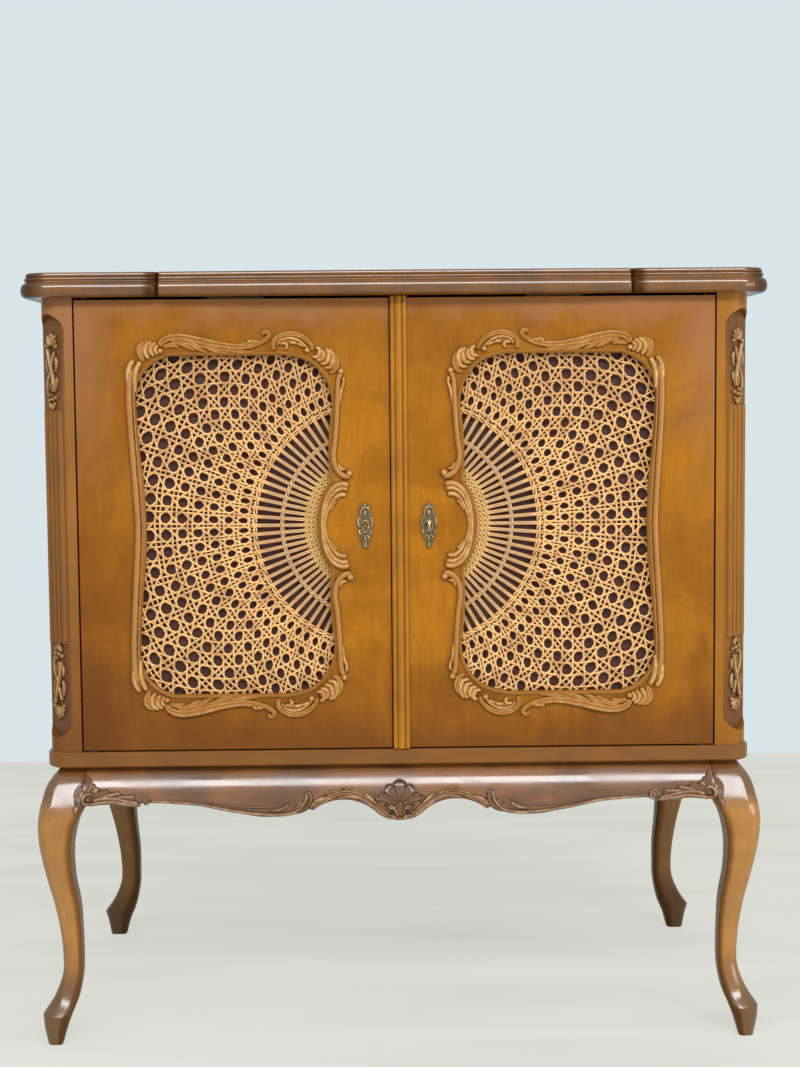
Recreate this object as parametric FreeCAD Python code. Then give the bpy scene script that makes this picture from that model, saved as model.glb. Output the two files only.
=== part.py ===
# Record cabinet: a veneered case with two cane-panelled doors on four cabriole legs.
# Units are millimetres. X runs to the right, Y to the back and Z up.
# The origin lies on the floor, under the middle of the overall box.
import FreeCAD, Part
import math
import os

V = FreeCAD.Vector

# Overall sizes
overall_width = 783.5
overall_height = 820.0
case_depth = 392.0
leg_height = 299.5

# Moulded top
top_thickness = 25.5
top_side_overhang = 20.25
top_front_overhang = 22.0
top_rear_overhang = 14.0
top_corner_radius = 33.0
top_rear_corner_radius = 12.0
top_bow = 4.0
top_moulding_depth = 7.2
cusp_margin = 148.75
cusp_depth = 8.0
cusp_inner_run = 3.0
cusp_outer_run = 18.0
# Height above the underside as a share of the thickness, inset as a share of the moulding depth
top_profile_shares = (
    (0.0, 0.7),
    (0.07, 0.28),
    (0.18, 0.06),
    (0.32, 0.0),
    (0.46, 0.08),
    (0.57, 0.33),
    (0.63, 0.68),
    (0.71, 0.76),
    (0.76, 0.62),
    (0.83, 0.6),
    (0.88, 0.74),
    (0.91, 0.92),
    (0.94, 0.84),
    (1.0, 1.0),
)

# Base board
base_thickness = 16.3
base_overhang = 3.5
base_edge_round = 1.6

# Case
post_width = 35.0
post_depth = 40.0
post_corner_radius = 20.0
side_thickness = 16.0
back_thickness = 6.0
niche_depth = 8.8
niche_half_width = 18.0
niche_top_margin = 16.0
niche_bottom_margin = 15.0
ornament_height = 84.0
ornament_width = 24.0
ornament_relief = 4.5
ornament_end_gap = 13.0
reed_count = 4
reed_radius = 3.7
reed_pitch = 7.6
reed_end_gap = 4.0

# Inside of the case
upper_space_height = 132.7
shelf_thickness = 16.0
shelf_setback = 14.0
shelf_side_gap = 0.5
divider_count = 3
divider_thickness = 8.0
divider_setback = 10.0
shelf_pin_radius = 2.5
shelf_pin_depth = 8.0
shelf_pin_reach = 9.0
shelf_pin_inset = 40.0
cleat_size = 20.0
stop_length = 60.0
stop_depth = 16.0
stop_height = 18.0
stop_gap = 0.5

# Doors
door_thickness = 20.0
door_side_gap = 2.0
door_top_gap = 2.6
door_bottom_gap = 1.7
meeting_gap = 1.2
meeting_offset = 5.9
aperture_offset = 67.1
aperture_hinge_margin = 61.8
aperture_end_margin = 58.45
# Upper half of the aperture, from the meeting side to the hinge side: across as a share of the
# aperture's width from its hinge side, up as a share of its half height
aperture_shares = (
    ((0.918, 0.0),),
    ((0.936, 0.148), (0.988, 0.263)),
    ((0.981, 0.437), (0.999, 0.68)),
    ((0.962, 0.867), (0.889, 0.957)),
    ((0.825, 0.985), (0.69, 1.0)),
    ((0.178, 1.0),),
    ((0.066, 0.931), (0.002, 0.715)),
    ((0.009, 0.56), (0.023, 0.364)),
    ((0.038, 0.168), (0.043, 0.0)),
)
# Upper half of the carved frame's outer edge, in the same shares
carving_shares = (
    ((0.991, 0.0),),
    ((1.013, 0.115), (1.088, 0.241)),
    ((1.124, 0.29), (1.092, 0.345)),
    ((1.055, 0.365), (1.04, 0.42)),
    ((1.053, 0.56), (1.067, 0.74)),
    ((1.08, 0.87), (1.05, 0.95)),
    ((1.03, 1.03), (0.954, 1.05)),
    ((0.9, 1.06), (0.86, 1.1)),
    ((0.783, 1.136), (0.715, 1.11)),
    ((0.672, 1.142), (0.625, 1.1)),
    ((0.565, 1.062), (0.489, 1.052)),
    ((0.338, 1.094), (0.21, 1.116)),
    ((0.165, 1.11), (0.136, 1.084)),
    ((0.06, 1.095), (0.0, 1.02)),
    ((-0.045, 0.89), (-0.05, 0.743)),
    ((-0.04, 0.6), (-0.024, 0.35)),
    ((-0.013, 0.15), (-0.01, 0.0)),
)
carving_relief = 6.0

# Cane panel and its backing in the door's rebate
rebate_margin = 9.0
rebate_lip = 7.0
panel_clearance = 0.3
cane_thickness = 2.0
bead_width = 8.0
bead_thickness = 5.0
backing_thickness = 3.0
fan_offset = 21.2
fan_inner_radius = 76.0
fan_ring_radius = 100.0
fan_outer_radius = 128.0
fan_ring_width = 3.0
stick_pitch_deg = 4.25
stick_gap_share = 0.6
net_pitch = 16.0
net_margin = 2.5
net_inner_hole = 3.2
net_outer_hole = 5.4
fan_half_turns = 19

# Pivot hinges
pivot_inset = 10.0
pivot_setback = 5.0
pivot_radius = 2.2
pivot_reach = 8.0
pivot_plate_length = 26.0
pivot_plate_width = 7.0
pivot_plate_thickness = 2.0
bush_wall = 2.0
bush_length = 8.5
bush_collar_width = 1.6
running_clearance = 0.15
thrust_clearance = 0.3

# Meeting strip
strip_width = 17.5
strip_base = 2.0
strip_relief = 2.6
strip_outer_reed_share = 0.27
strip_end_gap = 0.8

# Escutcheons, lock and key
escutcheon_offset = 33.6
escutcheon_height = 48.0
escutcheon_width = 17.0
escutcheon_thickness = 1.6
# Right half of the escutcheon from its foot to its head: shares of half width and half height
escutcheon_shares = (
    ((0.0, -1.0),),
    ((0.34, -0.97), (0.3, -0.8)),
    ((0.62, -0.66), (0.72, -0.42)),
    ((0.86, -0.3), (0.9, -0.12)),
    ((1.0, 0.08), (0.94, 0.32)),
    ((0.72, 0.46), (0.66, 0.62)),
    ((0.56, 0.84), (0.22, 0.92)),
    ((0.1, 0.98), (0.0, 1.0)),
)
keyhole_radius = 2.4
keyhole_slot_width = 2.6
keyhole_slot_length = 7.0
nail_radius = 0.7
nail_head_radius = 1.3
nail_head_height = 0.8
nail_length = 6.0
nail_height_share = 0.86
lock_length = 52.0
lock_height = 60.0
lock_thickness = 12.0
lock_edge_gap = 1.6
bolt_rise = 14.0
bolt_height = 10.0
bolt_thickness = 5.0
bolt_length = 34.0
bolt_throw = 12.0
bolt_clearance = 0.4
strike_height = 30.0
strike_wall = 2.5
key_shank_radius = 1.8
key_bow_height = 15.0
key_bow_length = 13.0
key_bow_thickness = 2.5
key_bow_wall = 3.0
key_collar = 3.0
key_bit_height = 4.5
key_bit_length = 4.0
key_hole_clearance = 1.0

# Flush bolts on the left door
rod_radius = 3.0
rod_length = 80.0
rod_edge_inset = 13.0
rod_end_gap = 0.5
rod_hole_clearance = 0.7
rod_hole_depth = 12.0
rod_standoff = 5.5
guide_height = 10.0
guide_width = 13.0
guide_thickness = 11.0
guide_end_margin = 8.0
guide_far_margin = 54.0
knob_radius = 3.5
knob_length = 6.0

# Legs and aprons
leg_block = 38.5
rear_leg_inset = 9.0
leg_block_round = 2.0
leg_soft_corner_share = 0.3
leg_ridge_corner_share = 0.18
# Height as a share of the leg's height, then how far the outer faces stand past the case corner
# and the inner faces lie inside it, as shares of the leg block
leg_block_shares = (
    (1.0, -0.283, 1.0),
    (0.935, 0.104, 1.0),
    (0.868, 0.26, 1.0),
)
leg_curve_shares = (
    (0.868, 0.26, 1.0),
    (0.835, 0.301, 0.836),
    (0.79, 0.332, 0.688),
    (0.71, 0.299, 0.577),
    (0.604, 0.164, 0.587),
    (0.494, -0.018, 0.701),
    (0.387, -0.145, 0.738),
    (0.29, -0.19, 0.745),
    (0.23, -0.148, 0.725),
    (0.16, 0.062, 0.629),
    (0.107, 0.338, 0.47),
)
foot_shares = (
    (0.107, 0.338, 0.47),
    (0.06, 0.296, 0.338),
    (0.0, 0.197, 0.203),
)
rear_curve_shares = (
    (0.868, 0.26, 1.0),
    (0.835, 0.29, 0.925),
    (0.79, 0.312, 0.83),
    (0.71, 0.288, 0.715),
    (0.604, 0.164, 0.7),
    (0.494, -0.078, 0.775),
    (0.387, -0.249, 0.875),
    (0.29, -0.301, 0.885),
    (0.23, -0.221, 0.86),
    (0.16, 0.042, 0.745),
    (0.107, 0.33, 0.615),
)
rear_foot_shares = (
    (0.107, 0.33, 0.615),
    (0.06, 0.255, 0.455),
    (0.0, 0.182, 0.325),
)
apron_drop = 58.3
apron_back_setback = 26.0
# Apron's front face: depth behind the case face as a share of the back setback, then drop share
apron_face_shares = (
    ((0.4, 0.0),),
    ((-0.13, 0.33), (-0.35, 1.0)),
)
# Half of the front apron's lower edge, from the middle out: shares of half length and of the drop
apron_edge_shares = (
    ((0.0, 1.0),),
    ((0.036, 0.981), (0.072, 0.866)),
    ((0.174, 0.619), (0.276, 0.806)),
    ((0.296, 0.767),),
    ((0.387, 0.909), (0.511, 0.827)),
    ((0.646, 0.695), (0.793, 0.64)),
    ((0.895, 0.652), (1.0, 0.681)),
)
side_edge_shares = (
    ((0.0, 0.56),),
    ((0.5, 0.59), (1.0, 0.681)),
)
rear_rail_height = 40.0
rear_rail_thickness = 20.0
rear_rail_setback = 12.0
block_size = 30.0

# Carving on the apron
apron_carving_relief = 4.0
shell_width = 44.0
# Half of the shell: shares of its half width, and of the apron's drop at the middle
shell_shares = (
    ((0.0, 0.27),),
    ((0.5, 0.33), (0.86, 0.52)),
    ((1.02, 0.7), (0.8, 0.88)),
    ((0.45, 0.96), (0.0, 0.99)),
)
# Scroll beside the shell and knee leaf, in shares of the apron's half length and drop
scroll_shares = (
    ((0.1, 0.74),),
    ((0.17, 0.5), (0.25, 0.56)),
    ((0.3, 0.44), (0.325, 0.52)),
    ((0.32, 0.66), (0.285, 0.72)),
    ((0.19, 0.58), (0.1, 0.74)),
)
knee_shares = (
    ((0.805, 0.6),),
    ((0.83, 0.46), (0.87, 0.5)),
    ((0.92, 0.34), (0.97, 0.2)),
    ((1.02, 0.12), (1.033, 0.3)),
    ((1.03, 0.46), (0.985, 0.63)),
    ((0.89, 0.63), (0.805, 0.6)),
)

# Screws
screw_radius = 1.6
screw_head_radius = 3.4
screw_head_height = 2.0
back_screw_length = 18.0
cleat_screw_length = 32.0
block_screw_length = 40.0
lock_screw_length = 14.0
back_screws_per_side = 4
cleat_screws_per_side = 3
screw_end_inset = 40.0

# One overrun serves every cut
overrun = 5.0

# Places worked out from the driving sizes
overall_depth = top_front_overhang + case_depth + top_rear_overhang
case_half = overall_width / 2 - top_side_overhang
opening_half = case_half - post_width
inner_half = case_half - side_thickness
cusp_offset = overall_width / 2 - cusp_margin
y_top_front = -overall_depth / 2
y_top_rear = overall_depth / 2
y_front = y_top_front + top_front_overhang
y_back = y_front + case_depth
y_back_inner = y_back - back_thickness
y_door_back = y_front + door_thickness
z_base_low = leg_height
z_base_high = leg_height + base_thickness
z_top_low = overall_height - top_thickness
z_shelf_high = z_top_low - upper_space_height
z_shelf_low = z_shelf_high - shelf_thickness
y_shelf_front = y_front + post_depth + shelf_setback
z_door_low = z_base_high + door_bottom_gap
z_door_high = z_top_low - door_top_gap
z_door_mid = (z_door_low + z_door_high) / 2
x_door_hinge = opening_half - door_side_gap
aperture_width = x_door_hinge - aperture_hinge_margin - aperture_offset
aperture_height = z_door_high - z_door_low - 2 * aperture_end_margin
x_left_meet = -meeting_offset - meeting_gap
x_right_meet = -meeting_offset
x_pivot = x_door_hinge - pivot_inset
y_pivot = y_front + pivot_setback
bush_bore = pivot_radius + running_clearance
bush_radius = bush_bore + bush_wall
apron_half = case_half - leg_block
x_side_apron = case_half - rear_leg_inset
y_cane = y_front + rebate_lip
y_bead = y_cane + cane_thickness
y_backing = y_bead + bead_thickness
z_bolt = z_door_mid + bolt_rise
y_bolt = y_door_back + lock_thickness / 2
x_rod = x_left_meet - rod_edge_inset
y_rod = y_door_back + rod_standoff
diagonal = math.sqrt(0.5)

UP = V(0, 0, 1)
BACKWARD = V(0, 1, 0)
RIGHT = V(1, 0, 0)
ORIGIN = V(0, 0, 0)


def box(x_range, y_range, z_range):
    """Upright box between three pairs of limits."""
    size = [high - low for low, high in (x_range, y_range, z_range)]
    return Part.makeBox(*size, V(x_range[0], y_range[0], z_range[0]))


def rod(radius, base, direction, length):
    """Round bar from a point along a direction."""
    return Part.makeCylinder(radius, length, base, direction)


def flip(shape):
    """The same shape on the other side of the cabinet's middle."""
    return shape.mirror(ORIGIN, RIGHT)


def chain(rows, place):
    """Edges through rows of shares: one pair ends a line, two pairs are an arc's middle and end."""
    here = place(*rows[0][0])
    edges = []
    for row in rows[1:]:
        there = place(*row[-1])
        if len(row) == 2:
            edges.append(Part.Arc(here, place(*row[0]), there).toShape())
        else:
            edges.append(Part.LineSegment(here, there).toShape())
        here = there
    return edges


def wire(edges):
    """One wire from edges in any order."""
    return Part.Wire(Part.__sortEdges__(edges))


def mirrored_face(rows, place, base, normal):
    """Face inside a half outline and its reflection."""
    half = chain(rows, place)
    other = [edge.mirror(base, normal) for edge in half]
    return Part.Face(wire(half + other))


def polygon_edges(points):
    """Straight edges from each point to the next."""
    return [Part.LineSegment(a, b).toShape() for a, b in zip(points, points[1:])]


def screw(head_at, direction, length):
    """Wood screw with a flat head; the head's underside is at head_at and the shank runs along direction."""
    shank = rod(screw_radius, head_at, direction, length)
    head = rod(screw_head_radius, head_at - direction * screw_head_height, direction, screw_head_height)
    return shank.fuse(head)


def spaced(low, high, count):
    """Even places from low to high, both included."""
    step = (high - low) / (count - 1)
    return [low + step * index for index in range(count)]


# Moulded top

def top_outline(z, inset):
    """Plan of the top at one height: a bowed middle, a cusp on each side and rounded corners."""
    half = overall_width / 2 - inset
    front = y_top_front + inset
    shoulder = front + top_bow
    notch = shoulder + cusp_depth
    rear = y_top_rear - inset
    radius = top_corner_radius - inset
    rear_radius = top_rear_corner_radius - inset
    x_notch = cusp_offset + cusp_inner_run
    x_run = x_notch + cusp_outer_run
    turn = 1 - diagonal
    bow = Part.Arc(V(-cusp_offset, shoulder, z), V(0, front, z), V(cusp_offset, shoulder, z)).toShape()
    back = Part.LineSegment(V(-half + rear_radius, rear, z), V(half - rear_radius, rear, z)).toShape()
    inner = Part.Arc(
        V(cusp_offset, shoulder, z),
        V(cusp_offset + cusp_inner_run * diagonal, shoulder + cusp_depth * turn, z),
        V(x_notch, notch, z),
    ).toShape()
    outer = Part.Arc(
        V(x_notch, notch, z),
        V(x_notch + cusp_outer_run * turn, shoulder + cusp_depth * turn, z),
        V(x_run, shoulder, z),
    ).toShape()
    run = Part.LineSegment(V(x_run, shoulder, z), V(half - radius, shoulder, z)).toShape()
    corner = Part.Arc(
        V(half - radius, shoulder, z),
        V(half - radius * turn, shoulder + radius * turn, z),
        V(half, shoulder + radius, z),
    ).toShape()
    side = Part.LineSegment(V(half, shoulder + radius, z), V(half, rear - rear_radius, z)).toShape()
    rear_corner = Part.Arc(
        V(half, rear - rear_radius, z),
        V(half - rear_radius * turn, rear - rear_radius * turn, z),
        V(half - rear_radius, rear, z),
    ).toShape()
    right = [inner, outer, run, corner, side, rear_corner]
    left = [flip(edge) for edge in right]
    return wire([bow, back] + right + left)


def top_panel():
    outlines = []
    for height_share, inset_share in top_profile_shares:
        z = z_top_low + top_thickness * height_share
        outlines.append(top_outline(z, top_moulding_depth * inset_share))
    panel = Part.makeLoft(outlines, True, True)
    for x in (-x_pivot, x_pivot):
        panel = panel.cut(rod(bush_radius, V(x, y_pivot, z_top_low - overrun), UP, bush_length + overrun))
    bolt_hole = rod(
        rod_radius + rod_hole_clearance, V(x_rod, y_rod, z_top_low - overrun), UP, rod_hole_depth + overrun
    )
    return panel.cut(bolt_hole)


# Case

def base_outline(z, inset):
    """Plan of the base board: round front corners that follow the posts."""
    half = case_half + base_overhang - inset
    front = y_front - base_overhang + inset
    radius = post_corner_radius + base_overhang - inset
    turn = radius * (1 - diagonal)
    corner = Part.Arc(
        V(half - radius, front, z), V(half - turn, front + turn, z), V(half, front + radius, z)
    ).toShape()
    side = Part.LineSegment(V(half, front + radius, z), V(half, y_back, z)).toShape()
    front_edge = Part.LineSegment(V(-half + radius, front, z), V(half - radius, front, z)).toShape()
    back_edge = Part.LineSegment(V(-half, y_back, z), V(half, y_back, z)).toShape()
    return wire([front_edge, back_edge, corner, side, flip(corner), flip(side)])


def base_board():
    stations = (
        (z_base_low, base_edge_round),
        (z_base_low + base_edge_round, 0),
        (z_base_high - base_edge_round, 0),
        (z_base_high, base_edge_round),
    )
    board = Part.makeLoft([base_outline(z, inset) for z, inset in stations], True, True)
    for x in (-x_pivot, x_pivot):
        board = board.cut(rod(bush_radius, V(x, y_pivot, z_base_high - bush_length), UP, bush_length + overrun))
    bolt_hole = rod(
        rod_radius + rod_hole_clearance, V(x_rod, y_rod, z_base_high - rod_hole_depth), UP,
        rod_hole_depth + overrun,
    )
    return board.cut(bolt_hole)


# The left post's cant: its middle, the way it faces and the way across it
cant_normal = V(-diagonal, -diagonal, 0)
cant_across = V(diagonal, -diagonal, 0)
cant_floor = V(-case_half + post_corner_radius, y_front + post_corner_radius, 0)
cant_floor = cant_floor + cant_normal * (post_corner_radius - niche_depth)
z_niche_low = z_base_high + niche_bottom_margin
z_niche_high = z_top_low - niche_top_margin
z_reed_low = z_niche_low + ornament_end_gap + ornament_height + reed_end_gap
z_reed_high = z_niche_high - ornament_end_gap - ornament_height - reed_end_gap


def on_cant(across, z):
    """Point on the floor of the left post's niche."""
    return cant_floor + cant_across * across + UP * z


def corner_post():
    """Left post: a round front corner with a stopped niche that holds reeds."""
    outer = -case_half
    inner = -opening_half
    turn = post_corner_radius * (1 - diagonal)
    y_rear = y_front + post_depth
    round_corner = Part.Arc(
        V(outer + post_corner_radius, y_front, z_base_high),
        V(outer + turn, y_front + turn, z_base_high),
        V(outer, y_front + post_corner_radius, z_base_high),
    ).toShape()
    sides = polygon_edges([
        V(outer, y_front + post_corner_radius, z_base_high),
        V(outer, y_rear, z_base_high),
        V(inner, y_rear, z_base_high),
        V(inner, y_front, z_base_high),
        V(outer + post_corner_radius, y_front, z_base_high),
    ])
    post = Part.Face(wire([round_corner] + sides)).extrude(UP * (z_top_low - z_base_high))
    end_low = z_niche_low + niche_half_width
    end_high = z_niche_high - niche_half_width
    stadium = [
        Part.Arc(on_cant(-niche_half_width, end_high), on_cant(0, z_niche_high),
                 on_cant(niche_half_width, end_high)).toShape(),
        Part.LineSegment(on_cant(niche_half_width, end_high), on_cant(niche_half_width, end_low)).toShape(),
        Part.Arc(on_cant(niche_half_width, end_low), on_cant(0, z_niche_low),
                 on_cant(-niche_half_width, end_low)).toShape(),
        Part.LineSegment(on_cant(-niche_half_width, end_low), on_cant(-niche_half_width, end_high)).toShape(),
    ]
    niche = Part.Face(wire(stadium)).extrude(cant_normal * (niche_depth + overrun))
    reach = reed_pitch * (reed_count - 1) / 2
    for across in spaced(-reach, reach, reed_count):
        niche = niche.cut(rod(reed_radius, on_cant(across, z_reed_low), UP, z_reed_high - z_reed_low))
    return post.cut(niche)


def post_ornaments():
    """Leaf carvings at both ends of the left post's niche."""
    leaves = []
    half = ornament_width / 2
    z_lower = z_niche_low + ornament_end_gap
    z_upper = z_niche_high - ornament_end_gap - ornament_height
    for low in (z_lower, z_upper):
        mid = low + ornament_height / 2
        high = low + ornament_height
        edges = [
            Part.Arc(on_cant(0, low), on_cant(half, mid), on_cant(0, high)).toShape(),
            Part.Arc(on_cant(0, high), on_cant(-half, mid), on_cant(0, low)).toShape(),
        ]
        leaves.append(Part.Face(wire(edges)).extrude(cant_normal * ornament_relief))
    return Part.makeCompound(leaves)


def side_panel():
    return box((-case_half, -inner_half), (y_front + post_depth, y_back_inner), (z_base_high, z_top_low))


def back_panel():
    return box((-case_half, case_half), (y_back_inner, y_back), (z_base_high, z_top_low))


def shelf():
    half = inner_half - shelf_side_gap
    return box((-half, half), (y_shelf_front, y_back_inner), (z_shelf_low, z_shelf_high))


def divider(index):
    """Upright board between two record bays, counted from the left."""
    bay = (2 * inner_half - divider_count * divider_thickness) / (divider_count + 1)
    low = -inner_half + bay + (bay + divider_thickness) * index
    front = y_shelf_front + divider_setback
    return box((low, low + divider_thickness), (front, y_back_inner), (z_base_high, z_shelf_low))


def shelf_pins():
    pins = []
    for x, direction in ((-inner_half - shelf_pin_depth, RIGHT), (inner_half + shelf_pin_depth, -RIGHT)):
        for y in (y_shelf_front + shelf_pin_inset, y_back_inner - shelf_pin_inset):
            base = V(x, y, z_shelf_low - shelf_pin_radius)
            pins.append(rod(shelf_pin_radius, base, direction, shelf_pin_depth + shelf_pin_reach))
    return Part.makeCompound(pins)


def cleat():
    """Left batten that the top is screwed to from below."""
    return box(
        (-inner_half, -inner_half + cleat_size), (y_shelf_front, y_back_inner),
        (z_top_low - cleat_size, z_top_low),
    )


def door_stops():
    front = y_door_back + stop_gap
    stops = []
    for x in (-opening_half / 2, opening_half / 2):
        stops.append(box(
            (x - stop_length / 2, x + stop_length / 2), (front, front + stop_depth),
            (z_top_low - stop_height, z_top_low),
        ))
    return Part.makeCompound(stops)


def pivot_bushes():
    """Bushes in the top and the base board; the lower ones have a collar that carries the door."""
    bushes = []
    for x in (-x_pivot, x_pivot):
        bottom = V(x, y_pivot, z_base_high - bush_length)
        collar_height = door_bottom_gap - thrust_clearance
        lower = rod(bush_radius, bottom, UP, bush_length)
        collar = rod(bush_radius + bush_collar_width, V(x, y_pivot, z_base_high), UP, collar_height)
        lower = lower.fuse(collar).cut(rod(bush_bore, bottom, UP, bush_length + overrun))
        upper = rod(bush_radius, V(x, y_pivot, z_top_low), UP, bush_length)
        upper = upper.cut(rod(bush_bore, V(x, y_pivot, z_top_low - overrun), UP, bush_length + overrun))
        bushes.extend([lower, upper])
    return Part.makeCompound(bushes)


# Legs and aprons

def leg_section(z, outer, inner, ridge_radius, soft_radius):
    """Square section of the front left leg with rounded corners; the outer corner is the softest."""
    x_low = -case_half - outer
    x_high = -case_half + inner
    y_low = y_front - outer
    y_high = y_front + inner
    corners = (
        (x_low, y_low, 1, 1, soft_radius),
        (x_high, y_low, -1, 1, ridge_radius),
        (x_high, y_high, -1, -1, ridge_radius),
        (x_low, y_high, 1, -1, ridge_radius),
    )
    turn = 1 - diagonal
    arcs = []
    for index, (x, y, x_way, y_way, radius) in enumerate(corners):
        along_x = V(x + x_way * radius, y, z)
        along_y = V(x, y + y_way * radius, z)
        middle = V(x + x_way * radius * turn, y + y_way * radius * turn, z)
        ends = (along_y, along_x) if index % 2 == 0 else (along_x, along_y)
        arcs.append((ends[0], middle, ends[1]))
    edges = []
    for index, (first, middle, last) in enumerate(arcs):
        edges.append(Part.Arc(first, middle, last).toShape())
        edges.append(Part.LineSegment(last, arcs[(index + 1) % len(arcs)][0]).toShape())
    return Part.Wire(edges)


def leg(curve_rows, foot_rows):
    """Leg at the front left corner: knee block, cabriole curve and tapered foot."""
    stretches = (
        (leg_block_shares, False, None),
        (curve_rows, False, leg_ridge_corner_share),
        (foot_rows, True, leg_ridge_corner_share),
    )
    pieces = []
    for rows, ruled, ridge_share in stretches:
        sections = []
        for height_share, outer_share, inner_share in rows:
            outer = leg_block * outer_share
            inner = leg_block * inner_share
            width = outer + inner
            ridge = leg_block_round if ridge_share is None else width * ridge_share
            soft = width * leg_soft_corner_share
            sections.append(leg_section(leg_height * height_share, outer, inner, ridge, soft))
        pieces.append(Part.makeLoft(sections, True, ruled))
    return pieces[0].fuse(pieces[1:]).removeSplitter()


def rear(shape):
    """A left leg moved to the back, set in a little further."""
    middle = V(0, (y_front + y_back) / 2, 0)
    copy = shape.mirror(middle, BACKWARD)
    copy.translate(V(rear_leg_inset, 0, 0))
    return copy


def front_place(depth, drop):
    """Point in the front apron's cross-section."""
    return V(0, y_front + apron_back_setback * depth, leg_height - apron_drop * drop)


def side_place(depth, drop):
    """Point in the left apron's cross-section."""
    return V(-x_side_apron + apron_back_setback * depth, 0, leg_height - apron_drop * drop)


def apron_section(place):
    """Swelling front, flat back."""
    edges = chain(apron_face_shares, place)
    low = apron_face_shares[-1][-1]
    top = apron_face_shares[0][0]
    edges += polygon_edges([place(*low), place(1, low[1]), place(1, top[1]), place(*top)])
    return Part.Face(wire(edges))


def front_apron_bar(half):
    """The front apron's swelling bar before its lower edge is shaped."""
    bar = apron_section(front_place)
    bar.translate(V(-half, 0, 0))
    return bar.extrude(RIGHT * (2 * half))


def edge_place(along, drop):
    """Point on the front apron's elevation, right half."""
    return V(apron_half * along, y_front - apron_back_setback, leg_height - apron_drop * drop)


def front_apron():
    half = chain(apron_edge_shares, edge_place)
    top = polygon_edges([edge_place(*apron_edge_shares[-1][-1]), edge_place(1, 0), edge_place(0, 0)])
    right = half + top[:1]
    face = Part.Face(wire(right + [flip(edge) for edge in right] + [
        Part.LineSegment(edge_place(1, 0), edge_place(-1, 0)).toShape()
    ]))
    return front_apron_bar(apron_half).common(face.extrude(BACKWARD * (3 * apron_back_setback)))


def side_apron():
    y_low = y_front + leg_block
    y_high = y_back - leg_block
    y_mid = (y_low + y_high) / 2
    bar = apron_section(side_place)
    bar.translate(V(0, y_low, 0))
    bar = bar.extrude(BACKWARD * (y_high - y_low))

    def place(along, drop):
        x = -x_side_apron - apron_back_setback
        return V(x, y_mid + (y_high - y_mid) * along, leg_height - apron_drop * drop)

    half = chain(side_edge_shares, place)
    half += polygon_edges([place(*side_edge_shares[-1][-1]), place(1, 0)])
    other = [edge.mirror(V(0, y_mid, 0), BACKWARD) for edge in half]
    face = Part.Face(wire(half + other + polygon_edges([place(1, 0), place(-1, 0)])))
    return bar.common(face.extrude(RIGHT * (3 * apron_back_setback)))


def rear_rail():
    half = apron_half - rear_leg_inset
    y_rear = y_back - rear_rail_setback
    return box((-half, half), (y_rear - rear_rail_thickness, y_rear), (leg_height - rear_rail_height, leg_height))


block_places = (
    (-apron_half, y_front + apron_back_setback),
    (apron_half - block_size, y_front + apron_back_setback),
    (-apron_half + rear_leg_inset, y_back - rear_rail_setback - rear_rail_thickness - block_size),
    (apron_half - rear_leg_inset - block_size, y_back - rear_rail_setback - rear_rail_thickness - block_size),
)


def corner_blocks():
    blocks = []
    for x, y in block_places:
        blocks.append(box((x, x + block_size), (y, y + block_size), (leg_height - block_size, leg_height)))
    return blocks


# Carving on the apron

def carve(face, bodies):
    """A carving of even relief that follows the apron's swell and lies on the bodies given."""
    prism = face.extrude(BACKWARD * (2 * apron_back_setback))
    skin = front_apron_bar(case_half)
    skin.translate(V(0, -apron_carving_relief, 0))
    carving = prism.common(skin)
    for body in bodies:
        carving = carving.cut(body)
    return max(carving.Solids, key=lambda solid: solid.Volume)


def shell_place(along, drop):
    """Point on the shell's elevation."""
    return V(shell_width / 2 * along, y_front - apron_back_setback, leg_height - apron_drop * drop)


# Doors, drawn for the left door

x_aperture = -aperture_offset - aperture_width
y_cut = y_front - carving_relief - overrun
face_cut = y_front + overrun - y_cut
through_cut = y_door_back + overrun - y_cut


def door_place(across, up):
    """Point on the left door's elevation, in shares of the aperture."""
    return V(x_aperture + aperture_width * across, y_cut, z_door_mid + aperture_height / 2 * up)


def door_face(rows):
    """Face inside an outline that is the same above and below the door's middle."""
    return mirrored_face(rows, door_place, V(0, 0, z_door_mid), UP)


aperture_face = door_face(aperture_shares)
aperture_prism = aperture_face.extrude(BACKWARD * through_cut)
rebate_x = (x_aperture - rebate_margin, x_aperture + aperture_width + rebate_margin)
rebate_half = aperture_height / 2 + rebate_margin
rebate_z = (z_door_mid - rebate_half, z_door_mid + rebate_half)


def inset_range(limits, gap):
    """A range drawn in by a gap at both ends."""
    return (limits[0] + gap, limits[1] - gap)


def pivot_plate_box(z_low):
    """Plate let into the left door's upper or lower edge."""
    x_low = -x_door_hinge + pivot_inset - pivot_plate_width / 2
    y_low = y_pivot - pivot_plate_width / 2
    return box(
        (x_low, x_low + pivot_plate_length), (y_low, y_low + pivot_plate_width),
        (z_low, z_low + pivot_plate_thickness),
    )


def door_pivots():
    """Left door's upper and lower pivots: a let-in plate with a pin."""
    upper = pivot_plate_box(z_door_high - pivot_plate_thickness)
    upper = upper.fuse(rod(pivot_radius, V(-x_pivot, y_pivot, z_door_high), UP, door_top_gap + pivot_reach))
    lower = pivot_plate_box(z_door_low)
    lower = lower.fuse(rod(pivot_radius, V(-x_pivot, y_pivot, z_door_low), -UP, door_bottom_gap + pivot_reach))
    return Part.makeCompound([upper, lower])


def nail_places(x):
    """Centres of an escutcheon's two nails."""
    rise = escutcheon_height / 2 * nail_height_share
    return [V(x, y_front, z_door_mid - rise), V(x, y_front, z_door_mid + rise)]


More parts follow.
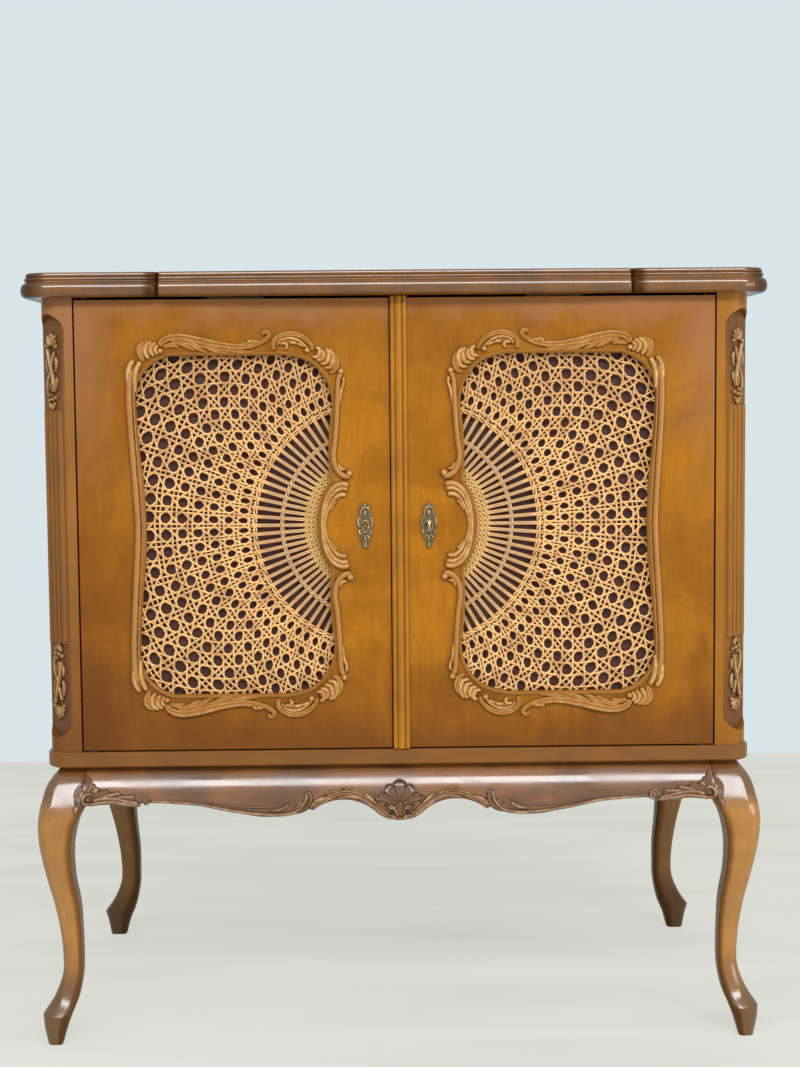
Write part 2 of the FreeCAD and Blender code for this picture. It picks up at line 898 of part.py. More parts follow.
def door_board(x_low, x_high):
    """Plain board between a door's two edges, with the left door's cuts."""
    board = box((x_low, x_high), (y_front, y_door_back), (z_door_low, z_door_high))
    board = board.cut(aperture_prism)
    board = board.cut(box(rebate_x, (y_cane, y_door_back + overrun), rebate_z))
    board = board.cut(pivot_plate_box(z_door_high - pivot_plate_thickness))
    board = board.cut(pivot_plate_box(z_door_low))
    for place in nail_places(-escutcheon_offset):
        board = board.cut(rod(nail_radius, place, BACKWARD, nail_length - escutcheon_thickness))
    return board


def left_door_panel():
    return door_board(-x_door_hinge, x_left_meet)


def right_door_panel():
    board = flip(door_board(-x_door_hinge, -x_right_meet))
    key_hole = rod(
        key_shank_radius + key_hole_clearance, V(escutcheon_offset, y_cut, z_door_mid), BACKWARD, through_cut
    )
    return board.cut(key_hole)


def carved_frame():
    """Applied carving round the aperture, as one scalloped band."""
    outer = door_face(carving_shares)
    outer.translate(V(0, y_front - carving_relief - y_cut, 0))
    return outer.extrude(BACKWARD * carving_relief).cut(aperture_prism)


def cane_point(radius, angle):
    """Point of the cane net, in polar places about the fan's centre; angle 0 points to the hinge."""
    return V(-fan_offset - radius * math.cos(angle), y_cut, z_door_mid + radius * math.sin(angle))


def inside_aperture(points):
    """Whether every point lies inside the aperture, clear of its edge."""
    for point in points:
        if not aperture_face.isInside(point, net_margin, False):
            return False
        if aperture_face.OuterWire.distToShape(Part.Vertex(point))[0] < net_margin:
            return False
    return True


def fan_gaps():
    """Long gaps between the sticks of the fan."""
    gaps = []
    pitch = math.radians(stick_pitch_deg)
    half = pitch * stick_gap_share / 2
    rings = (
        (fan_inner_radius, fan_ring_radius - fan_ring_width / 2),
        (fan_ring_radius + fan_ring_width / 2, fan_outer_radius),
    )
    for index in range(-fan_half_turns, fan_half_turns):
        angle = pitch * index + pitch / 2
        for near, far in rings:
            points = [
                cane_point(near, angle - half), cane_point(far, angle - half),
                cane_point(far, angle + half), cane_point(near, angle + half),
            ]
            if inside_aperture(points):
                gaps.append(Part.Wire(polygon_edges(points + points[:1])))
    return gaps


def net_gaps():
    """Round gaps of the woven net, in rows that carry on between the sticks."""
    gaps = []
    pitch = math.radians(stick_pitch_deg)
    far = math.hypot(aperture_offset + aperture_width - fan_offset, aperture_height / 2)
    rings = int((far - fan_outer_radius) / net_pitch)
    for ring in range(rings + 1):
        radius = fan_outer_radius + net_pitch * (ring + diagonal)
        size = net_inner_hole + (net_outer_hole - net_inner_hole) * ring / max(rings, 1)
        for index in range(-fan_half_turns, fan_half_turns):
            centre = cane_point(radius, pitch * index + pitch / 2)
            rim = [centre + V(size, 0, 0), centre - V(size, 0, 0), centre + UP * size, centre - UP * size]
            if inside_aperture([centre] + rim):
                gaps.append(Part.Wire(Part.Circle(centre, BACKWARD, size).toShape()))
    return gaps


def cane_panel():
    """Cane as one holed sheet behind the aperture."""
    x_low, x_high = inset_range(rebate_x, panel_clearance)
    z_low, z_high = inset_range(rebate_z, panel_clearance)
    rim = Part.Wire(polygon_edges([
        V(x_low, y_cut, z_low), V(x_high, y_cut, z_low), V(x_high, y_cut, z_high),
        V(x_low, y_cut, z_high), V(x_low, y_cut, z_low),
    ]))
    gaps = fan_gaps() + net_gaps()
    print("gaps in each cane panel:", len(gaps))
    sheet = Part.makeFace([rim] + gaps, "Part::FaceMakerCheese")
    sheet.translate(V(0, y_cane - y_cut, 0))
    return sheet.extrude(BACKWARD * cane_thickness)


def backing_beads():
    """Four beads that hold the cane in the rebate."""
    x_low, x_high = inset_range(rebate_x, panel_clearance)
    z_low, z_high = inset_range(rebate_z, panel_clearance)
    depth = (y_bead, y_backing)
    beads = [
        box((x_low, x_high), depth, (z_high - bead_width, z_high)),
        box((x_low, x_high), depth, (z_low, z_low + bead_width)),
        box((x_low, x_low + bead_width), depth, (z_low + bead_width, z_high - bead_width)),
        box((x_high - bead_width, x_high), depth, (z_low + bead_width, z_high - bead_width)),
    ]
    return Part.makeCompound(beads)


def backing_board():
    return box(
        inset_range(rebate_x, panel_clearance), (y_backing, y_backing + backing_thickness),
        inset_range(rebate_z, panel_clearance),
    )


def escutcheon():
    """Cast keyhole plate of the left door, with a blind keyhole."""
    def place(across, up):
        x = -escutcheon_offset + escutcheon_width / 2 * across
        return V(x, y_front - escutcheon_thickness, z_door_mid + escutcheon_height / 2 * up)

    face = mirrored_face(escutcheon_shares, place, V(-escutcheon_offset, 0, 0), RIGHT)
    plate = face.extrude(BACKWARD * escutcheon_thickness)
    plate = plate.cut(rod(keyhole_radius, V(-escutcheon_offset, y_cut, z_door_mid), BACKWARD, face_cut))
    half = keyhole_slot_width / 2
    plate = plate.cut(box(
        (-escutcheon_offset - half, -escutcheon_offset + half), (y_cut, y_front + overrun),
        (z_door_mid - keyhole_slot_length, z_door_mid),
    ))
    for point in nail_places(-escutcheon_offset):
        plate = plate.cut(rod(nail_radius, V(point.x, y_cut, point.z), BACKWARD, face_cut))
    return plate


def escutcheon_nails():
    """Two small nails through the left door's keyhole plate."""
    nails = []
    for point in nail_places(-escutcheon_offset):
        start = point - BACKWARD * escutcheon_thickness
        shank = rod(nail_radius, start, BACKWARD, nail_length)
        head = rod(nail_head_radius, start - BACKWARD * nail_head_height, BACKWARD, nail_head_height)
        nails.append(shank.fuse(head))
    return Part.makeCompound(nails)


# Right door's own fittings

def meeting_strip():
    """Reeded strip on the right door's free edge: a wide reed between two narrow ones."""
    narrow = strip_width * strip_outer_reed_share
    low = z_door_low - door_bottom_gap + strip_end_gap
    high = z_top_low - strip_end_gap
    y_seat = y_front - strip_base
    edges_at = [0, narrow, strip_width - narrow, strip_width]
    edges = []
    for start, end in zip(edges_at, edges_at[1:]):
        crest = y_seat - strip_relief * (1 if end - start > narrow else strip_outer_reed_share * 3)
        edges.append(Part.Arc(
            V(x_right_meet + start, y_seat, low), V(x_right_meet + (start + end) / 2, crest, low),
            V(x_right_meet + end, y_seat, low),
        ).toShape())
    edges += polygon_edges([
        V(x_right_meet + strip_width, y_seat, low), V(x_right_meet + strip_width, y_front, low),
        V(x_right_meet, y_front, low), V(x_right_meet, y_seat, low),
    ])
    return Part.Face(wire(edges)).extrude(UP * (high - low))


x_lock = x_right_meet + lock_edge_gap
lock_z = (z_door_mid - lock_height / 2, z_door_mid + lock_height / 2)


def bolt_box(grow):
    """Lock bolt at rest, grown by a clearance."""
    half_height = bolt_height / 2 + grow
    half_thickness = bolt_thickness / 2 + grow
    return box(
        (x_lock - grow, x_lock + bolt_length + grow), (y_bolt - half_thickness, y_bolt + half_thickness),
        (z_bolt - half_height, z_bolt + half_height),
    )


def lock_screw_places():
    """Heads of the lock's four screws on its cover."""
    inset = 2 * screw_head_radius
    places = []
    for x in (x_lock + inset, x_lock + lock_length - inset):
        for z in (lock_z[0] + inset, lock_z[1] - inset):
            places.append(V(x, y_door_back + lock_thickness, z))
    return places


def lock_case():
    """Box lock on the back of the right door, with a bolt channel and a chamber for the key's bit."""
    case = box((x_lock, x_lock + lock_length), (y_door_back, y_door_back + lock_thickness), lock_z)
    channel = bolt_box(bolt_clearance)
    case = case.cut(channel)
    chamber_depth = key_bit_length + 2 * bolt_clearance
    chamber = rod(
        key_shank_radius + key_bit_height + bolt_clearance,
        V(escutcheon_offset, y_bolt - chamber_depth / 2, z_door_mid), BACKWARD, chamber_depth,
    )
    shaft = rod(
        key_shank_radius + bolt_clearance, V(escutcheon_offset, y_door_back - overrun, z_door_mid), BACKWARD,
        overrun + lock_thickness / 2 + chamber_depth / 2,
    )
    case = case.cut(chamber).cut(shaft)
    for place in lock_screw_places():
        case = case.cut(rod(screw_radius, place + BACKWARD * overrun, -BACKWARD, lock_thickness + 2 * overrun))
    return case


def lock_screws():
    return Part.makeCompound([screw(place, -BACKWARD, lock_screw_length) for place in lock_screw_places()])


def key():
    """Key at rest with its bow edge-on: bow, shank and a bit inside the lock."""
    bow_front = y_front - escutcheon_thickness - key_collar - key_bow_length
    centre = V(escutcheon_offset - key_bow_thickness / 2, bow_front + key_bow_length / 2, z_door_mid)
    outer = rod(key_bow_length / 2, ORIGIN, RIGHT, key_bow_thickness)
    inner = rod(key_bow_length / 2 - key_bow_wall, ORIGIN - RIGHT * overrun, RIGHT,
                key_bow_thickness + 2 * overrun)
    ring = outer.cut(inner)
    stretch = FreeCAD.Matrix()
    stretch.scale(1, 1, key_bow_height / key_bow_length)
    ring = ring.transformGeometry(stretch)
    ring.translate(centre)
    shank_start = bow_front + key_bow_length - key_bow_wall / 2
    shank_end = y_bolt + key_bit_length / 2
    shank = rod(key_shank_radius, V(escutcheon_offset, shank_start, z_door_mid), BACKWARD,
                shank_end - shank_start)
    half = key_bow_thickness / 2
    bit = box(
        (escutcheon_offset - half, escutcheon_offset + half),
        (y_bolt - key_bit_length / 2, shank_end),
        (z_door_mid - key_shank_radius - key_bit_height, z_door_mid),
    )
    return ring.fuse([shank, bit])


# Left door's own fittings

def strike():
    """Keeper on the back of the left door that the lock bolt enters."""
    x_high = x_left_meet - lock_edge_gap
    x_low = x_high - bolt_throw
    body = box(
        (x_low - strike_wall, x_high), (y_door_back, y_door_back + lock_thickness),
        (z_bolt - strike_height / 2, z_bolt + strike_height / 2),
    )
    half_height = bolt_height / 2 + 2 * bolt_clearance
    half_thickness = bolt_thickness / 2 + 2 * bolt_clearance
    return body.cut(box(
        (x_low, x_high + overrun),
        (y_bolt - half_thickness, y_bolt + half_thickness),
        (z_bolt - half_height, z_bolt + half_height),
    ))


def flush_bolt():
    """Upper bolt of the left door at rest, drawn back; its knob faces the inside of the case."""
    high = z_door_high - rod_end_gap
    bar = rod(rod_radius, V(x_rod, y_rod, high - rod_length), UP, rod_length)
    z_knob = high - (guide_end_margin + guide_far_margin + guide_height) / 2
    knob = rod(knob_radius, V(x_rod, y_rod, z_knob), BACKWARD, rod_radius + knob_length)
    return bar.fuse(knob)


def lower(shape):
    """The same fitting at the door's lower end."""
    return shape.mirror(V(0, 0, z_door_mid), UP)


def bolt_guides():
    """Two guides for the upper bolt."""
    guides = []
    bore = rod(rod_radius + bolt_clearance, V(x_rod, y_rod, z_door_mid), UP, z_door_high - z_door_mid + overrun)
    for margin in (guide_end_margin, guide_far_margin):
        high = z_door_high - margin
        block = box(
            (x_rod - guide_width / 2, x_rod + guide_width / 2), (y_door_back, y_door_back + guide_thickness),
            (high - guide_height, high),
        )
        guides.append(block.cut(bore))
    return guides


# Screws that hold the case together

def back_screw_places():
    places = []
    for x in (-case_half + side_thickness / 2, case_half - side_thickness / 2):
        for z in spaced(z_base_high + screw_end_inset, z_top_low - screw_end_inset, back_screws_per_side):
            places.append(V(x, y_back, z))
    return places


def cleat_screw_places():
    places = []
    for x in (-inner_half + cleat_size / 2, inner_half - cleat_size / 2):
        for y in spaced(y_shelf_front + screw_end_inset, y_back_inner - screw_end_inset, cleat_screws_per_side):
            places.append(V(x, y, z_top_low - cleat_size))
    return places


def block_screw_places():
    half = block_size / 2
    return [V(x + half, y + half, leg_height - block_size) for x, y in block_places]


def drilled(shape, places, direction, length):
    """A piece with holes for the screws that run into it."""
    for place in places:
        shape = shape.cut(rod(screw_radius, place, direction, length))
    return shape


def screws(places, direction, length):
    return Part.makeCompound([screw(place, direction, length) for place in places])


# Assembly

back_places = back_screw_places()
cleat_places = cleat_screw_places()
blocks_places = block_screw_places()
pins = shelf_pins()
left_side = side_panel()
left_cleat = cleat()
apron = front_apron()
front_leg = leg(leg_curve_shares, foot_shares)
rear_leg = rear(leg(rear_curve_shares, rear_foot_shares))
left_post = corner_post()
left_leaves = post_ornaments()
left_apron = side_apron()
shell_face = mirrored_face(shell_shares, shell_place, ORIGIN, RIGHT)
scroll = carve(Part.Face(wire(chain(scroll_shares, edge_place))), [apron])
knee = carve(Part.Face(wire(chain(knee_shares, edge_place))), [apron, flip(front_leg)])
guides = bolt_guides()
upper_bolt = flush_bolt()
frame_carving = carved_frame()
cane = cane_panel()
beads = backing_beads()
backing = backing_board()
plate = escutcheon()
nails = escutcheon_nails()
pivots = door_pivots()

parts = {
    "top_panel": drilled(top_panel(), cleat_places, UP, cleat_screw_length),
    "base_board": drilled(base_board(), blocks_places, UP, block_screw_length),
    "left_corner_post": left_post,
    "right_corner_post": flip(left_post),
    "left_post_carving": left_leaves,
    "right_post_carving": flip(left_leaves),
    "left_side_panel": drilled(left_side, back_places, -BACKWARD, back_screw_length).cut(pins),
    "right_side_panel": drilled(flip(left_side), back_places, -BACKWARD, back_screw_length).cut(pins),
    "back_panel": drilled(back_panel(), back_places, -BACKWARD, back_screw_length),
    "back_panel_screws": screws(back_places, -BACKWARD, back_screw_length),
    "shelf": shelf(),
    "shelf_pins": pins,
    "left_top_cleat": drilled(left_cleat, cleat_places, UP, cleat_screw_length),
    "right_top_cleat": drilled(flip(left_cleat), cleat_places, UP, cleat_screw_length),
    "top_screws": screws(cleat_places, UP, cleat_screw_length),
    "door_stops": door_stops(),
    "pivot_bushes": pivot_bushes(),
    "front_apron": apron,
    "left_apron": left_apron,
    "right_apron": flip(left_apron),
    "rear_rail": rear_rail(),
    "front_left_leg": front_leg,
    "front_right_leg": flip(front_leg),
    "rear_left_leg": rear_leg,
    "rear_right_leg": flip(rear_leg),
    "corner_blocks": Part.makeCompound([
        drilled(block, blocks_places, UP, block_screw_length) for block in corner_blocks()
    ]),
    "corner_block_screws": screws(blocks_places, UP, block_screw_length),
    "apron_shell": carve(shell_face, [apron]),
    "apron_scrolls": Part.makeCompound([scroll, flip(scroll)]),
    "knee_carvings": Part.makeCompound([knee, flip(knee)]),
    "left_door_panel": left_door_panel(),
    "right_door_panel": drilled(right_door_panel(), lock_screw_places(), -BACKWARD, lock_screw_length),
    "left_carved_frame": frame_carving,
    "right_carved_frame": flip(frame_carving),
    "left_cane_panel": cane,
    "right_cane_panel": flip(cane),
    "left_backing_beads": beads,
    "right_backing_beads": flip(beads),
    "left_backing_board": backing,
    "right_backing_board": flip(backing),
    "left_escutcheon": plate,
    "right_escutcheon": flip(plate),
    "left_escutcheon_nails": nails,
    "right_escutcheon_nails": flip(nails),
    "left_door_pivots": pivots,
    "right_door_pivots": flip(pivots),
    "meeting_strip": meeting_strip(),
    "lock_case": lock_case(),
    "lock_screws": lock_screws(),
    "lock_bolt": bolt_box(0),
    "key": key(),
    "strike": strike(),
    "upper_bolt": upper_bolt,
    "lower_bolt": lower(upper_bolt),
    "bolt_guides": Part.makeCompound(guides + [lower(guide) for guide in guides]),
}
for index in range(divider_count):
    parts["record_divider_%d" % (index + 1)] = divider(index)

os.makedirs("parts", exist_ok=True)
for name, shape in parts.items():
    shape.exportStep("parts/%s.step" % name)
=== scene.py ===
import math
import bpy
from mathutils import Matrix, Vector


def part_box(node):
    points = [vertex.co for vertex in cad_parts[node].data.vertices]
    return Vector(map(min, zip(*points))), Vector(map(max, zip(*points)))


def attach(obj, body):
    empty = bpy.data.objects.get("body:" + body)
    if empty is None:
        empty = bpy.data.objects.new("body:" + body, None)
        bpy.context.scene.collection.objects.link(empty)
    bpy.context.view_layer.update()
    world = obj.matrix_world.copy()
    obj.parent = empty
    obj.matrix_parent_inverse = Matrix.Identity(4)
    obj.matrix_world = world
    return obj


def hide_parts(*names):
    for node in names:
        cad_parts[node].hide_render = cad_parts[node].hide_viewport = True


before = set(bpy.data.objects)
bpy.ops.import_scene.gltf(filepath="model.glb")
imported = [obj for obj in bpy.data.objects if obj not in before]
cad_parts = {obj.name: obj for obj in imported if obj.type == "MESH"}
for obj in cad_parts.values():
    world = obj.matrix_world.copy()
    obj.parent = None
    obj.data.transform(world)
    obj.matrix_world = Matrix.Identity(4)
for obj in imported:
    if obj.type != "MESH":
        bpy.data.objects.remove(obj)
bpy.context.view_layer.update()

from types import SimpleNamespace

import bmesh
import bpy
from mathutils import Matrix, Vector

bl_info = {
    "name": "Record cabinet dressing",
    "version": (1, 0, 0),
    "blender": (4, 5, 0),
    "location": "3D View > Sidebar > Cabinet",
    "description": "Carves, weaves and polishes a record cabinet round its packed frame",
    "category": "Object",
}

# Places read from the frame, in metres
DOOR_LOW, DOOR_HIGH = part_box("left_door_panel")
DOOR_FACE = DOOR_LOW.y
DOOR_MIDDLE = (DOOR_LOW.z + DOOR_HIGH.z) / 2
TOP_LOW, TOP_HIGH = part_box("top_panel")
APRON_LOW, APRON_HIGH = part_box("front_apron")
CANE_LOW, CANE_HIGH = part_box("right_cane_panel")
CANE_MIDDLE = (CANE_LOW.y + CANE_HIGH.y) / 2
PLATE_LOW, PLATE_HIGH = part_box("right_escutcheon")
NICHE_MIDDLE = sum(corner.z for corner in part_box("left_post_carving")) / 2

# Niche of a corner post, in metres: its upright axis, and the ground's distance from it along the diagonal
NICHE_ACROSS, NICHE_ALONG, NICHE_FLOOR = 0.3515, -0.172, 0.0112
NICHE_HALF_WIDTH, NICHE_HALF_HEIGHT = 0.018, 0.2239
DIAGONAL = math.sqrt(0.5)

SIDES = (("left", -1), ("right", 1))
MM = 0.001

# Factors that turn a table of strokes across and up
BOTH_HALVES = ((1, 1), (-1, 1))
UPPER_AND_LOWER = ((1, 1), (1, -1))

# Least angle of a sharp edge, in degrees
CREASES = {"top": 50, "legs": 38, "apron": 35, "sight_edge": 30, "carving": 55}

# Strokes of carving: step along the line in mm, light on fluted backs, least roundness of an end,
# and the height that the narrowest part keeps
STROKE_STEP, FLUTE_SHINE, BLUNT_END, NARROW_HEIGHT = 1.6, 1.15, 0.06, 0.55
# Height of a stroke's back as a share of a round one, from -1 at one side to 1 at the other
CROWNS = {
    "round": lambda side: 1,
    "fluted": lambda side: 1 - 0.42 * math.exp(-(side / 0.3)**2),
    "hollow": lambda side: 0.45 + 0.75 * side * side,
}
# Beads of carving: points round, rings, and how far the last ring closes
BEAD_SIDES, BEAD_RINGS, BEAD_REACH = 14, 5, 0.86

# Moulding of the top: share of the height, share of the inset
TOP_PROFILE = (
    (0, 0.7), (0.07, 0.28), (0.18, 0.06), (0.32, 0), (0.4, 0.035), (0.48, 0.115), (0.56, 0.33), (0.61, 0.62),
    (0.66, 0.72), (0.7, 0.6), (0.735, 0.56), (0.785, 0.612), (0.81, 0.75), (0.825, 0.86), (0.85, 0.78),
    (0.885, 0.765), (0.96, 0.838), (1, 1),
)
# Both runs of the notch at a step of the top's front, in metres
CUSP_INNER_RUN, CUSP_OUTER_RUN = 0.003, 0.018
# Steps along the top's bowed front, its shoulders and its sides, and round a corner; step of the moulding
BOW_STEPS, SHOULDER_STEPS, FLANK_STEPS, QUARTER_STEPS, PROFILE_STEP = 24, 6, 12, 8, 0.05

# Holes in the top's underside for the flush bolt and the pivot bushes, in mm: across, along, radius, depth
TOP_HOLES = ((-20.1, -166.5, 3.7, 12), (-324.5, -187, 4.35, 8.5), (324.5, -187, 4.35, 8.5))
HOLE_SIDES = 24

# Legs: share of the height, then how far the outer and inner faces stand from the corner, in mm
FRONT_LEG_ROWS = (
    (1, -10.9, 38.5), (0.935, 4.0, 38.5), (0.868, 10.0, 38.5), (0.835, 11.6, 32.2), (0.79, 12.8, 26.5),
    (0.71, 11.5, 22.2), (0.604, 6.3, 22.6), (0.494, -0.7, 27.0), (0.387, -5.6, 28.4), (0.29, -7.3, 28.7),
    (0.23, -5.7, 27.9), (0.16, 2.4, 24.2), (0.107, 13.0, 18.1),
)
FRONT_FOOT_ROWS = ((0.107, 13.0, 18.1), (0.06, 11.4, 13.0), (0, 7.6, 7.8))
REAR_LEG_ROWS = (
    (1, -10.9, 38.5), (0.935, 4.0, 38.5), (0.868, 10.0, 38.5), (0.835, 11.2, 35.6), (0.79, 12.0, 32.0),
    (0.71, 11.1, 27.5), (0.604, 6.3, 27.0), (0.494, -3.0, 29.8), (0.387, -9.6, 33.7), (0.29, -11.6, 34.1),
    (0.23, -8.5, 33.1), (0.16, 1.6, 28.7), (0.107, 12.7, 23.7),
)
REAR_FOOT_ROWS = ((0.107, 12.7, 23.7), (0.06, 9.8, 17.5), (0, 7.0, 12.5))
# Front face of a front leg at the knee: share of the height, how far it stands from the corner, in mm
KNEE_FACE = ((1, -10.9), (0.965, -1.6), (0.945, 2.5), (0.915, 7.1), (0.885, 11.4), (0.86, 14.7),
             (0.842, 16.4), (0.82, 17.2), (0.79, 16.9), (0.71, 13.6), (0.604, 6.3))
# Rounding of a leg: share of the height, radius of the outer corner and of the others as shares of the width
LEG_ROUNDING = ((1, 0.3, 0.05), (0.87, 0.3, 0.06), (0.79, 0.3, 0.11), (0.5, 0.34, 0.13), (0.25, 0.42, 0.17),
                (0.107, 0.46, 0.26), (0, 0.42, 0.28))
# How far a leg's faces catch the light: outer corner, front face, inner corners, rear face, last corner
FRONT_FACING = ((0.35, 1), (1,), (0.3, 0), (0, 0), (0,), (0, 0.35))
REAR_FACING = ((0.9, 0.3), (0,), (0, 0), (0, 0.2), (0.9,), (1, 1))
# Where the front and the rear face have their extra point, as shares of the width
FACE_SHARES = (0.66, 0.42)
# Corner that the front left leg is measured from, the middle between front and rear legs,
# and how far the rear ones stand in, in mm
LEG_CORNER, LEG_MIDDLE, REAR_LEG_INSET = (-371.5, -192.0), 4.0, 9.0
# Step between the rings of a leg, in hundredths of its height, and the steps round a corner
LEG_STEP, CORNER_STEPS = 1.6, 7

# Apron: three points of its swelling face (y, z in mm), and the drop of its lower edge as arcs and one line
APRON_FACE = ((-181.6, 299.5), (-195.38, 280.26), (-201.1, 241.2))
APRON_EDGE = (
    ((0, 1), (0.036, 0.981), (0.072, 0.866)), ((0.072, 0.866), (0.174, 0.619), (0.276, 0.806)),
    ((0.276, 0.806), (0.286, 0.7865), (0.296, 0.767)), ((0.296, 0.767), (0.387, 0.909), (0.511, 0.827)),
    ((0.511, 0.827), (0.646, 0.695), (0.793, 0.64)), ((0.793, 0.64), (0.895, 0.652), (1, 0.681)),
)
# Steps of each arc, and rows down the apron's face
APRON_ARC_STEPS, APRON_ROWS = 18, 16
# Where the knee begins beside the apron, and the run in which the leaves step onto it, in mm
KNEE_START, KNEE_BLEND = 330, 5

# Outline of the door's opening, upper half: shares of its width and half height, three points to an arc
OPENING_ARCS = (
    ((0.918, 0), (0.936, 0.148), (0.988, 0.263)), ((0.988, 0.263), (0.981, 0.437), (0.999, 0.68)),
    ((0.999, 0.68), (0.962, 0.867), (0.889, 0.957)), ((0.889, 0.957), (0.825, 0.985), (0.69, 1)),
    ((0.69, 1), (0.434, 1), (0.178, 1)), ((0.178, 1), (0.066, 0.931), (0.002, 0.715)),
    ((0.002, 0.715), (0.009, 0.56), (0.023, 0.364)), ((0.023, 0.364), (0.038, 0.168), (0.043, 0)),
)
# Far side, width and half height of the opening in mm, and the steps of each arc
OPENING_FAR, OPENING_WIDTH, OPENING_HALF_HEIGHT, OPENING_ARC_STEPS = 272.7, 205.6, 178.75, 12

# Carved strokes of a door, in mm from the cabinet's middle and the door's middle, upper half.
# Each row: points, half widths at start, middle and end, crest height; some with crown, steps and shade
DOOR_STROKES = (
    (((257.4, 193.9), (265.3, 189.3), (266.5, 182), (263, 172.7)), (2.8, 4.1, 2.5), 4.4, "fluted"),
    (((253.2, 194.4), (260.1, 189.2), (260.8, 182), (256.7, 175.2)), (2.5, 3.8, 2.4), 4.9),
    (((249.1, 193.3), (254.9, 188.2), (255, 183), (251.5, 177.8)), (2.4, 3.5, 2.2), 4.7),
    (((246.6, 190.2), (250.3, 187.1), (249.8, 182.9), (246.8, 179.8)), (2.0, 3.0, 1.9), 4.4),
    (((243, 187.5), (236.7, 189.6), (230.5, 189.5), (225.9, 186.9)), (2.2, 3.0, 1.6), 3.8, "fluted"),
    (((234.6, 193.7), (223.2, 192), (216, 187.8), (208.8, 184.1)), (2.4, 3.4, 1.4), 4.2, "fluted"),
    (((221.1, 193.6), (210.7, 190.4), (203.6, 185.1), (196.3, 182.5)), (2.4, 3.4, 1.3), 4.0, "fluted"),
    (((205.5, 190.3), (194.2, 187.1), (184.9, 183.4), (173.5, 181.8)), (2.3, 3.2, 1.1), 3.8, "fluted"),
    (((185.8, 187.6), (173.4, 184.9), (162, 182.7), (148.5, 182.1)), (2.1, 2.9, 1.0), 3.5, "fluted"),
    (((247.1, 188.6), (241.8, 194.3), (233.5, 197.3), (223.1, 197.7), (207.5, 194.5), (187.9, 190.2),
      (167.1, 187.6), (151.5, 188.6), (139, 192.9), (132.1, 198.5), (133.6, 202.9), (137.3, 202.2),
      (136.3, 199)), (3.5, 3.6, 2.4), 4.8, "fluted"),
    (((246, 193.3), (238.6, 198.4), (229.2, 200.4), (215.8, 199.2), (200.3, 195.7), (182.7, 191.7),
      (166.1, 189.7), (154.6, 190.9)), (1.7, 2.0, 1.2), 5.6),
    (((155.6, 190.4), (151.4, 193.5), (147.3, 194)), (1.7, 2.3, 1.3), 4.6),
    (((150.4, 190.9), (146.2, 193.4), (143.1, 192.4)), (1.6, 2.1, 1.2), 4.4),
    (((126.1, 182.9), (127.6, 189.1), (125.4, 194.8), (119.1, 198.9), (110.8, 200.7), (101.4, 199.3),
      (93.2, 194.5), (87.5, 187.8), (87.1, 182.6)), (2.7, 3.5, 2.4), 5.0, "fluted"),
    (((124, 188.1), (120.2, 193.7), (111.9, 196.3), (102.5, 194.4), (95.3, 189.4), (91.2, 184.2)),
     (1.6, 2.2, 1.4), 4.6),
    (((121.3, 190.1), (116.1, 191.1), (113, 188), (116.2, 183.9)), (1.9, 2.7, 1.6), 4.2),
    (((111.9, 191.1), (105.7, 191.5), (102.6, 188.9)), (1.8, 2.5, 1.5), 4.0),
    (((103.6, 190.5), (97.4, 188.9), (95.4, 185.8)), (1.7, 2.3, 1.4), 3.8),
    (((66.3, 181.4), (61.7, 173), (63.9, 162.7), (70.7, 159.6)), (2.5, 3.8, 2.1), 4.4, "fluted"),
    (((70.4, 185.5), (65.3, 177.7), (67.5, 166.8), (75.3, 164.8)), (2.5, 3.8, 2.1), 4.9),
    (((74, 186.1), (69.9, 180.4), (72.1, 171), (79.4, 169)), (2.5, 3.8, 2.1), 4.8),
    (((78.7, 184.6), (75.1, 180.4), (77.3, 174.2), (83.6, 173.2)), (2.4, 3.5, 2.1), 4.6),
    (((84.4, 187.2), (79.3, 184.1), (80.9, 177.3), (87.7, 176.4)), (2.2, 3.4, 2.0), 4.4),
    (((57.1, 160.5), (60.4, 151.2), (61.3, 131.4), (62.4, 110.6), (64.2, 89.7), (66.2, 74.1), (64.6, 63.2),
      (59.6, 54.8), (53, 51.4), (47.8, 52.8)), (3.2, 3.4, 3.9), 5.0, "round", 8, 0.84),
    (((55.2, 156), (54.6, 149), (57.2, 140.9), (58.3, 126.2)), (2.2, 2.3, 0.9), 4.4),
    (((61.2, 66), (58.6, 59.8), (52.8, 58.8)), (1.4, 2.3, 1.7), 4.9),
    (((62, 25.5), (66.5, 22.5), (70.6, 14)), (1.7, 1.5, 0.8), 3.8),
    (((277.6, 140), (279.4, 157), (277.6, 168), (272.6, 175.4)), (2.4, 3.8, 3.2), 4.6),
    (((272, 140), (272.4, 156), (269.6, 167), (265.6, 173.8)), (2.2, 3.6, 3.2), 4.9),
)
# Strokes that run on through the door's middle, the outer rods first
DOOR_THROUGH_STROKES = (
    (((275.6, 166), (278.4, 152.1), (278.8, 133.4), (278.2, 112.6), (275.9, 70.8), (273.2, 28.9),
      (272.1, 2.6)), (3.9, 3.9, 3.9), 4.6, "round", 8, 0.72),
    (((268.6, 162), (272.9, 149), (274, 133.4), (273.4, 112.6), (271.1, 70.8), (268.4, 28.9), (267.3, 2.6)),
     (1.4, 1.4, 1.4), 2.8, "round", 8, 0.72),
    (((49.6, 41.8), (57.6, 43.6), (66.4, 40), (73.4, 30.5), (77.8, 16), (79.1, 0)), (3.7, 2.1, 3.7), 5.2),
    (((50.6, 37.4), (58.5, 38.6), (66.4, 34.4), (72.2, 25.6), (75.9, 13.5), (77.2, 0)), (3.2, 1.7, 3.2), 4.9),
    (((52.2, 31.4), (58.2, 32.6), (64.4, 29.4), (70, 21.5), (74, 11), (75.5, 0)), (3.3, 1.3, 3.3), 4.5),
)
